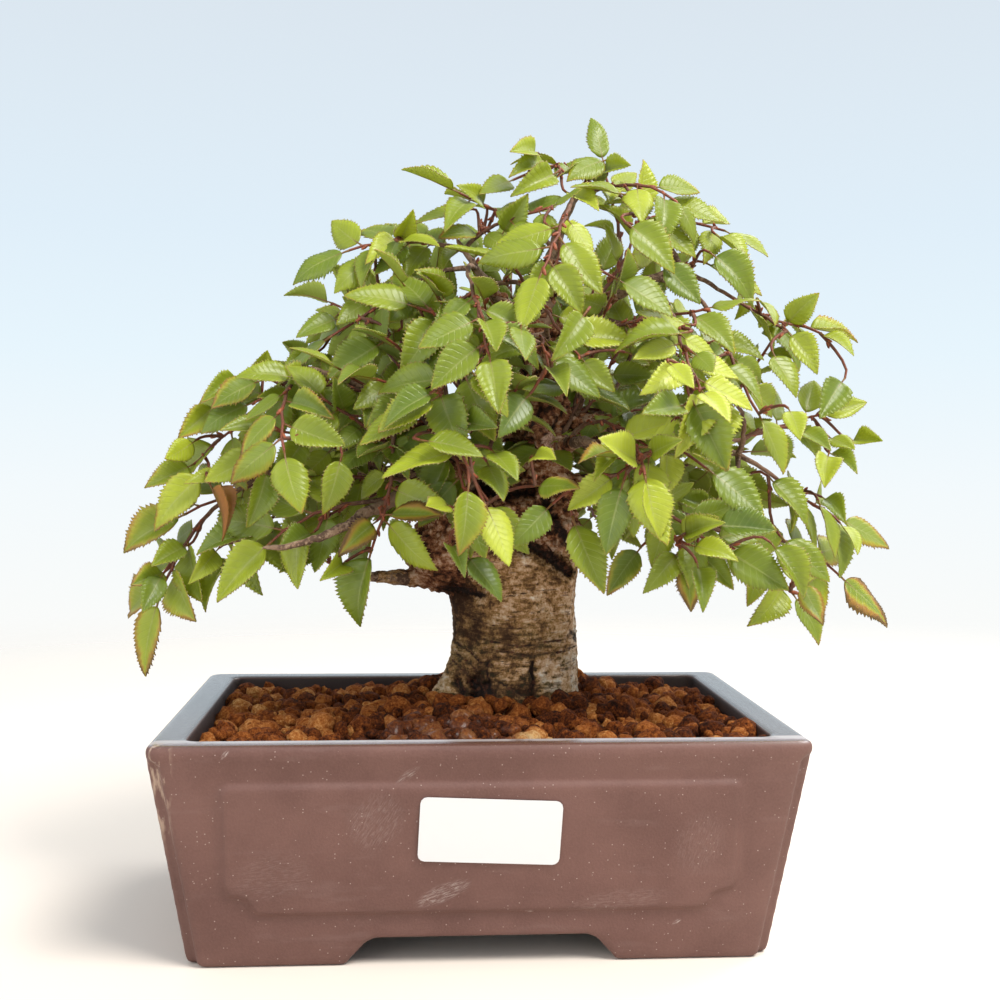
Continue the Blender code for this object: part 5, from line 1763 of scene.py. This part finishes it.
rough, thick = bark.named("rough"), bark.named("thick")
flat = bark.node("ShaderNodeVectorMath", {"operation": "MULTIPLY"}, {0: place, 1: (95.0, 95.0, 340.0)})[0]
band = ridges(bark.noise(flat, 1.0, 4, 0.62, 0.8))
knob = bark.noise(place, 230.0, 3, 0.62)
lump = bark.noise(place, 75.0, 2, 0.5)
grain = bark.noise(place, 760.0, 3, 0.7)
crumb = 0.42 - bark.cells(place, CRUMB_SCALE)["Distance"]
smooth_share = 1 - rough
height = ((band - 0.7) * smooth_share * bark.given["Bands"] + (knob - 0.5) * 2 * (rough * 0.85 + 0.15)
          * bark.given["Knobs"] + (grain - 0.5) * 2 * bark.given["Grain"]
          + crumb * rough * bark.given["Crumbs"] + (lump - 0.5) * 2 * (rough * 0.6 + 0.4) * 0.0012) * thick
relief = (band - 0.5) * smooth_share * 0.35 + (knob - 0.5) * (rough * 1.6 + 0.5) + (grain - 0.5) * 0.9 + 0.5
kept = bark.done("StoreNamedAttribute", bark.given["Carrier"], {"data_type": "FLOAT", "domain": "POINT"},
                 Name="relief", Value=relief)
bark.end(bark.pushed(kept, height))
trunk = bark.grow(melted, "trunk_bark")
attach(trunk, "root")
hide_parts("trunk")
print("trunk:", triangles(trunk), "triangles")

# %% [markdown]
# Hornbeam bark is grainy and tan to light grey where it is sound, with short dark dashes, and the healed wood
# of the burl is crumbly and red brown. The geometry tree kept how high each point of the bark stands, so the
# colour follows the relief: dark in the cracks, pale on the ridges. Ovals placed where the camera sees them
# set the bark's own pale and dark patches, and add painted shade down the trunk's left side and a painted
# highlight down its right edge. The hollows are nearly black inside: partly dark wood, partly painted shade
# in their depths. Near the soil a little green algae and dark moss grow, and the sawn end of the stub is
# still pink.

# %% Bark finish
x, y, z = grey_bark.axes()
relief, light = grey_bark.attribute("relief"), grey_bark.attribute("light")
rough, hollow, cut = [grey_bark.attribute(name) for name in ("rough", "hollow", "cut")]
speck = grey_bark.grain(1700, 4, 0.72)
grit = grey_bark.grain(560, 4, 0.66)
blotch = grey_bark.grain(150, 4, 0.65)
wide = grey_bark.grain(38, 3, 0.6)
strokes = grey_bark.streaks((150, 150, 560), 4, 0.62, 0.3)
dashes = grey_bark.streaks((190, 190, 900), 3, 0.6, 0.5)
tone = (light * 0.8 + (relief - 0.5) * 0.45 + (speck - 0.5) * 0.6 + (grit - 0.5) * 0.95
        + (blotch - 0.5) * 1.0 + (strokes - 0.5) * 0.9 + (wide - 0.5) * 0.6 + 0.07)
sound = grey_bark.ramp(tone, (0.1, (0.04, 0.017, 0.007)), (0.29, (0.12, 0.06, 0.024)),
                       (0.46, (0.285, 0.15, 0.056)), (0.64, (0.48, 0.3, 0.155)),
                       (0.82, (0.64, 0.51, 0.36)), (1.0, (0.84, 0.79, 0.69)))
crumbs = grey_bark.cells(grey_bark.here, CRUMB_SCALE)["Distance"]
healed = grey_bark.ramp(tone + (0.4 - crumbs) * 0.55 + (grit - 0.5) * 0.6, (0.1, (0.022, 0.008, 0.004)),
                        (0.32, (0.125, 0.042, 0.018)), (0.54, (0.29, 0.125, 0.058)),
                        (0.86, (0.54, 0.37, 0.26)))
share = (rough + (blotch - 0.5) * 0.7).between(0.25, 0.75)
dark_dash = dashes.between(0.45, 0.38) * (1 - rough * 0.8) * blotch.between(0.32, 0.55)
pale = (tone - wide * 0.6).between(0.16, 0.42) * (1 - rough)
dots = (speck * 0.5 + grit * 0.5).between(0.42, 0.37)
algae = (wide + (blotch - 0.5) * 0.6).between(0.48, 0.68) * z.between(120, 66) * 0.38
moss = (grit * 0.5 + strokes * 0.5).between(0.47, 0.41) * z.between(104, 70)
# Inside the hollows and along the line under the burl the bark is painted nearly black: partly dark wood,
# partly painted shade.
torn = hollow * (1.0 + (grit - 0.5) * 2.2 + (blotch - 0.5) * 1.4)
inside = grey_bark.mix(grit.between(0.48, 0.66), (0.012, 0.006, 0.004), (0.1, 0.034, 0.016))
sawn = grey_bark.mix(speck.between(0.4, 0.6), (0.4, 0.22, 0.155), (0.74, 0.52, 0.42))
colour = grey_bark.layers(
    sound, (share, healed), (dark_dash * 0.8, (0.045, 0.02, 0.009)), (pale * 0.22, (0.62, 0.36, 0.26)),
    (dots * 0.75, (0.05, 0.024, 0.01)), (algae, (0.085, 0.082, 0.026)), (moss * 0.7, (0.024, 0.022, 0.009)),
    (torn.between(0.3, 0.66), inside), ((cut + (grit - 0.5) * 0.6).between(0.4, 0.7), sawn))
grey_bark.set(Base_Color=colour, Roughness=0.85 - hollow * 0.25, Specular_IOR_Level=0.2)
grey_bark.set(Normal=grey_bark.bump(grit * 0.6 + speck * 0.4, 0.0009, 0.9))
print("the bark's finish has", len(grey_bark.tree.nodes), "nodes")

# %% Limbs
LIMB_STEP = 1.7


def limb_carrier(name):
    """The limbs as lines of edges, wandering a little, with the radius at each point."""
    points, edges, radii = [], [], []
    for limb in LIMBS:
        if limb in ("upper_trunk", "stub"):
            continue
        path, limb_radii = limb_path(limb, LIMB_STEP)
        draw = Random(f"{limb} wander")
        drift = Vector((0, 0, 0))
        last = path[-1] + (path[-1] - path[-2]).normalized() * 1.4
        edges += chain(len(points), len(path) + 1)
        for k, (point, radius) in enumerate(zip([*path, last], [*limb_radii, limb_radii[-1] * 0.4])):
            drift = drift * 0.6 + jitter(draw, 0.36) * min(1.0, k / 6)
            points.append(in_metres(point + drift))
            slim = 1 - 0.5 * (k / (len(path) - 1)) ** 2
            radii.append(radius * slim * draw.uniform(0.9, 1.1) * MILLIMETRE)
    return mesh_object(name, points, edges, radius=radii, age=[1.0] * len(points))


limb_tubes = twig_grower.grow(limb_carrier("limbs"), "limbs", Sides=16, Knobs=0.38)
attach(limb_tubes, "root")
print("limbs:", triangles(limb_tubes), "triangles")


# %% [markdown]
# ## Granules
#
# The soil is fired clay grit in grains of 3 to 9 mm, which keeps air at the roots. Each grain is a broken
# lump with a chalky, pitted skin, darker where it is wet. A geometry tree scatters them over the soil's upper
# face, keeps them off the pot's wall, heaps them a little round the trunk, turns and sizes each by chance,
# and dents all of them with the same noises, so that no two are alike. It runs twice, for the large grains
# and for the small ones that fill the chinks.

# %% Scatter the grains
WALL_ROOM = 1.6
WALL = 0.0103
SOIL_LOWEST = 0.052
HEAP_REACH = (0.062, 0.026)
inner = [pot_high[axis] - POT_PLACE[axis] - WALL - WALL_ROOM * MILLIMETRE for axis in (0, 1)]


def soil_carrier():
    """The upper face of the soil as one merged sheet."""
    shape = bmesh.new()
    shape.from_mesh(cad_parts["soil"].data)
    bmesh.ops.remove_doubles(shape, verts=shape.verts, dist=0.00005)
    low = [face for face in shape.faces if face.normal.z < 0.4 or face.calc_center_median().z < SOIL_LOWEST]
    bmesh.ops.delete(shape, geom=low, context="FACES")
    return add_shape("soil_face", shape)


red_granules = Finish("red_granules")
gravel = Grower("scatter_grains", red_granules, Spacing=0.0047, Smallest=0.0027, Largest=0.0048, Lift=0.0018,
                Heap=0.0034, Dent=0.0044, Seed=4)
scattered = gravel.node("GeometryNodeDistributePointsOnFaces", {"distribute_method": "POISSON"}, {
    "Mesh": gravel.given["Carrier"], "Distance Min": gravel.given["Spacing"], "Density Max": 900000.0,
    "Seed": gravel.given["Seed"]})
where = gravel.node("GeometryNodeInputPosition")[0]
place = gravel.split(where)
from_wall = [inner[axis] - abs(place[axis] - POT_PLACE[axis]) for axis in (0, 1)]
inside = from_wall[0].sum("MINIMUM", from_wall[1]).sum("GREATER_THAN", 0.0)
from_trunk = [place[axis] - in_metres(TRUNK)[axis] for axis in (0, 1)]
heap = ((from_trunk[0] ** 2 + from_trunk[1] ** 2) ** 0.5).between(*HEAP_REACH) * gravel.given["Heap"]
lift = gravel.join(z=gravel.random(-1.0, 1.0, 11) * gravel.given["Lift"] + heap + 0.0008)
heaped = gravel.done("SetPosition", scattered["Points"], Offset=lift)
turn = gravel.random((0.0, 0.0, 0.0), (6.3, 6.3, 6.3), 12)
form = gravel.random((0.72, 0.72, 0.65), (1.25, 1.25, 1.1), 13)
radius = gravel.given["Smallest"] + (gravel.given["Largest"] - gravel.given["Smallest"]) * (
    gravel.random(0.0, 1.0, 14) ** 1.6)
lump = gravel.node("GeometryNodeMeshIcoSphere", {}, {"Radius": 1.0, "Subdivisions": 2})["Mesh"]
laid = gravel.node("GeometryNodeInstanceOnPoints", {}, {
    "Points": heaped, "Selection": inside, "Instance": lump, "Rotation": turn,
    "Scale": gravel.scaled(form, radius)})
toned = gravel.done("StoreNamedAttribute", laid["Instances"], {"data_type": "FLOAT", "domain": "INSTANCE"},
                    Name="tone", Value=gravel.random(0.0, 1.0, 15))
dents = ((gravel.noise(where, 290.0, 2, 0.6) - 0.5) * gravel.given["Dent"]
         + (gravel.noise(where, 800.0, 2, 0.6) - 0.5) * gravel.given["Dent"] * 0.4)
gravel.end(gravel.pushed(gravel.done("RealizeInstances", toned), dents))
large = gravel.grow(soil_carrier(), "granules_large")
small = gravel.grow(soil_carrier(), "granules_small", Spacing=0.003, Smallest=0.0012, Largest=0.0024,
                    Lift=0.002, Heap=0.0026, Dent=0.0026, Seed=9)
for grains in (large, small):
    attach(grains, "root")
    print(grains.name, triangles(grains) // 80, "grains")

# %% Grain finish
tone = red_granules.attribute("tone")
x, y, z = red_granules.axes()
speck = red_granules.grain(1500, 5, 0.78)
pits = red_granules.grain(700, 4, 0.7)
patch = red_granules.grain(300, 3, 0.6)
tan = ((x - 19) * (x - 19) + (y + 49) * (y + 49)).between(150, 40) * tone.between(0.45, 0.7)
left = x.between(-20, -75)
mixed_tone = (tone ** 1.7 * 0.42 + patch * 0.25 + (speck - 0.5) * 1.0 + (pits - 0.5) * 0.9 + tan * 0.45
              + left * 0.1 + 0.04)
clay = red_granules.ramp(mixed_tone, (0.04, (0.014, 0.003, 0.001)), (0.22, (0.085, 0.019, 0.003)),
                         (0.39, (0.215, 0.054, 0.009)), (0.56, (0.37, 0.12, 0.025)),
                         (0.75, (0.56, 0.26, 0.08)), (0.95, (0.76, 0.48, 0.21)))
wet = (patch + tone * 0.3).between(0.48, 0.7) * ((x + 12) * (x + 12) + (y + 46) * (y + 46)).between(1100, 200)
red_granules.set(Base_Color=red_granules.mix(wet * 0.6, clay, (0.075, 0.02, 0.009)))
red_granules.set(Roughness=0.92 - wet * 0.3, Specular_IOR_Level=0.15)
red_granules.set(Coat_Weight=wet * 0.3, Coat_Roughness=0.25)
red_granules.set(Normal=red_granules.bump(pits * 0.6 + speck * 0.4, 0.002, 1.0))
damp_soil = Finish("damp_soil")
damp_soil.set(Base_Color=(0.045, 0.014, 0.008), Roughness=0.95, Specular_IOR_Level=0.05)


def dress_node(node, finish):
    """Gives a node of the measured model its finish. The mesh stays as it is."""
    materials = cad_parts[node].data.materials
    materials.clear()
    materials.append(finish.material)


dress_node("soil", damp_soil)
print("the grains' finish has", len(red_granules.tree.nodes), "nodes")


# %% [markdown]
# ## The pot
#
# The pot is mauve brown stoneware, pressed in a mould, unglazed and fired hard. Its end walls are brought
# flush with its lip. Pressed clay has no sharp edge, so a fine voxel remesh with some smoothing rounds every
# edge at once. That blurs the raised panel too, so a shallow moat is pressed round it. Last, flat parts lose
# the small triangles that they don't need.

# %% Soften the pot's edges
LIP_STEP = 0.8
LIP_BOTTOM = 61.5
RIM_FLARE = 1.1
CLAY_VOXEL = 0.8
INSIDE = (85.9, 55.9)
INSIDE_TAPER = (0.0765, 0.108)
MOAT = 0.6
PANEL = ((0.0, 16.9), (64.5, 16.9), (66.2, 18.5), (67.0, 20.9), (68.8, 22.1), (72.7, 22.8), (74.0, 24.9),
         (74.0, 53.5), (72.7, 54.8), (0.0, 54.8))


def fill_out(point):
    """Moves a point of an end wall outwards, to meet the lip without a step."""
    depth = 67.0 - point.z
    inner = [abs(point[axis]) < INSIDE[axis] - INSIDE_TAPER[axis] * depth for axis in (0, 1)]
    if all(inner) and point.z > 8:
        return point
    flush = LIP_STEP * min(1.0, max(0.0, point.z / LIP_BOTTOM)) * (point.z < LIP_BOTTOM + 0.5)
    flare = RIM_FLARE * max(0.0, point.z) / 67
    share = min(1.0, max(0.0, (abs(point.x) - 60) / 20))
    moved = point.copy()
    moved.x += (flush + flare) * share * (1 if point.x > 0 else -1)
    return moved


def soft_pot():
    """The measured pot with rounded edges, still with many small triangles."""
    shape = bmesh.new()
    shape.from_mesh(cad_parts["pot"].data)
    bmesh.ops.remove_doubles(shape, verts=shape.verts, dist=0.00002)
    for vertex in shape.verts:
        vertex.co = in_metres(fill_out((vertex.co - POT_PLACE) / MILLIMETRE))
    made = add_shape("pot_clay", shape)
    press = made.modifiers.new("press", "REMESH")
    press.mode = "VOXEL"
    press.voxel_size = CLAY_VOXEL * MILLIMETRE
    soften = made.modifiers.new("soften", "SMOOTH")
    soften.factor = 0.5
    soften.iterations = 10
    smooth = plain_copy(made, "soft_pot")
    bpy.data.objects.remove(made)
    return smooth


def soft_step(value, low, high):
    share = np.clip((value - low) / (high - low), 0, 1)
    return share * share * (3 - 2 * share)


def press_moat(piece):
    """Presses the front and back walls in just outside the panel's outline."""
    points = (read_rows(piece.data.vertices, "co") - np.array(POT_PLACE)) / MILLIMETRE
    across_wall, up_wall = np.abs(points[:, 0]), points[:, 2]
    # The ring closes along the wall's middle line, which is no edge of the panel.
    apart = np.min([np.hypot(*off_segment(across_wall, up_wall, start, end))
                    for start, end in zip(PANEL, PANEL[1:])], axis=0)
    apart = np.where(in_ring(across_wall, up_wall, PANEL), -apart, apart)
    wall = 65.0 - 10.8 + 0.163 * up_wall
    outer = soft_step(np.abs(points[:, 1]), wall - 3, wall - 2)
    depth = MOAT * outer * soft_step(apart, -0.4, 1.2) * (1 - soft_step(apart, 1.5, 9.0))
    points[:, 1] -= np.sign(points[:, 1]) * depth
    piece.data.vertices.foreach_set("co", (points * MILLIMETRE + np.array(POT_PLACE)).ravel())
    piece.data.update()


dense_pot = soft_pot()
press_moat(dense_pot)
spare = dense_pot.modifiers.new("spare", "DECIMATE")
spare.ratio = 0.16
pot = plain_copy(dense_pot, "clay_pot")
bpy.data.objects.remove(dense_pot)
pot.data.shade_smooth()
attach(pot, "root")
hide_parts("pot")
print("pot:", triangles(pot), "triangles")

# %% [markdown]
# Unglazed stoneware is matt, but clay that was wiped with a wet sponge takes a sheen on its flat rim, where
# it is darker too. Kilns and shelves leave fine white specks, pale scuffs and a worn front edge, all drawn
# from noises. Each scuff is an oval on the front wall, filled with fine streaks that run along it.

# %% Scuffs on the front wall
SCUFFS = (
    (443, 897, 34, 11, 24, 0.55), (376, 822, 38, 32, 60, 0.16), (408, 774, 16, 5, 38, 0.5),
    (226, 753, 7, 3, 52, 0.8), (681, 929, 6, 2.2, 30, 0.9), (531, 917, 5, 2, 0, 0.7),
    (700, 845, 40, 30, 75, 0.1), (270, 880, 50, 30, 10, 0.1), (620, 905, 60, 14, 8, 0.14),
)
FRONT_WALL = -62.0
mauve_clay = Finish("mauve_clay")
x, y, z = mauve_clay.axes()


def scuff(across_picture, down_picture, half_long, half_wide, slant, strength):
    """How much a scuff whitens the clay: 0 outside its oval."""
    middle = at_pixel(across_picture, down_picture, FRONT_WALL)
    pixel = (at_pixel(across_picture + 1, down_picture, FRONT_WALL) - middle).length
    turn = radians(slant)
    off_x, off_z = x - middle.x, z - middle.z
    along = off_x * cos(turn) + off_z * sin(turn)
    aside = off_z * cos(turn) - off_x * sin(turn)
    apart = (along * (1 / (half_long * pixel))) ** 2.0 + (aside * (1 / (half_wide * pixel))) ** 2.0
    hairs = mauve_clay.noise(mauve_clay.join(along * 0.35, aside * 2.6), 1.0, 4, 0.7, 0.4).between(0.42, 0.72)
    return apart.between(1.0, 0.15) * hairs * strength


worn_front = sum((scuff(*place) for place in SCUFFS[1:]), scuff(*SCUFFS[0])) * y.between(-50, -54)
print(len(SCUFFS), "scuffs")

# %% Clay finish
fine = mauve_clay.grain(1500, 3, 0.6)
cloud = mauve_clay.grain(30, 5, 0.6)
streak = mauve_clay.streaks((28, 28, 150), 4, 0.6)
clay = mauve_clay.mix(cloud.between(0.32, 0.68), (0.103, 0.044, 0.034), (0.14, 0.065, 0.051))


def specks(scale, size, share):
    """White dots of one size: the middles of a few cells of a pattern."""
    cells = mauve_clay.cells(mauve_clay.here, scale)
    chosen = mauve_clay.split(cells["Color"])[0]
    return cells["Distance"].between(size, size * 0.5) * chosen.between(1 - share, 1.03 - share)


dots = specks(900.0, 0.2, 0.16).sum("MAXIMUM", specks(330.0, 0.085, 0.16))
top = z.between(66.2, 66.8)
patchy = mauve_clay.streaks((90, 90, 300), 5, 0.68)
front_rim = y.between(-55.0, -56.5)
worn = patchy.between(0.32, 0.52) * front_rim * y.between(-61.5, -59.0) * z.between(65.6, 66.6)
tan_run = mauve_clay.streaks((420, 420, 34), 4, 0.65).between(0.5, 0.66)
tan_run = tan_run * x.between(-87.5, -90.5) * y.between(-54, -58) * z.between(30, 46) * 0.85
depth = 67.0 - z
inside_x = (abs(x) + depth * INSIDE_TAPER[0] - INSIDE[0]).between(1.2, 0.2)
inside_y = (abs(y) + depth * INSIDE_TAPER[1] - INSIDE[1]).between(1.2, 0.2)
# The pot's inner wall below the rim is painted nearly black: painted shade inside the pot.
inner = z.between(66.8, 65.8) * inside_x * inside_y
# A pale layer follows the fine grain. It is laid more thickly over the pot's right end, which is painted
# light from the right.
mauve_clay.set(Base_Color=mauve_clay.layers(
    clay, ((fine - 0.5) * 0.5 + x.between(45, 92) * 0.12 + 0.05, (0.22, 0.125, 0.1)),
    (streak.between(0.56, 0.74) * 0.12, (0.27, 0.19, 0.17)), (dots * 0.45, (0.6, 0.48, 0.42)),
    (worn_front.sum("MINIMUM", 0.6), (0.5, 0.42, 0.38)),
    (top * (1 - front_rim * 0.85) * 0.85, (0.048, 0.038, 0.032)), (worn * 0.75, (0.5, 0.46, 0.46)),
    (tan_run, (0.42, 0.3, 0.22)), (inner * 0.85, (0.016, 0.011, 0.011))))
mauve_clay.set(Roughness=0.62 + (fine - 0.5) * 0.2 - top * (1 - worn * 0.8) * 0.4, Specular_IOR_Level=0.4)
mauve_clay.set(Coat_Weight=top * 0.8, Coat_Roughness=0.25)
mauve_clay.set(Normal=mauve_clay.bump(fine * 0.7 + cloud * 0.3, 0.00035, 0.6))
pot.data.materials.clear()
pot.data.materials.append(mauve_clay.material)
print("the clay's finish has", len(mauve_clay.tree.nodes), "nodes")

# %% Label and screens
white_label = Finish("white_label")
white_label.set(Base_Color=(0.66, 0.645, 0.64), Roughness=0.45)
dark_plastic = Finish("dark_plastic")
dark_plastic.set(Base_Color=(0.02, 0.02, 0.021), Roughness=0.5)
dress_node("label", white_label)
dress_node("drain_screen_left", dark_plastic)
dress_node("drain_screen_right", dark_plastic)
print("the pot, the label and the screens are dressed")
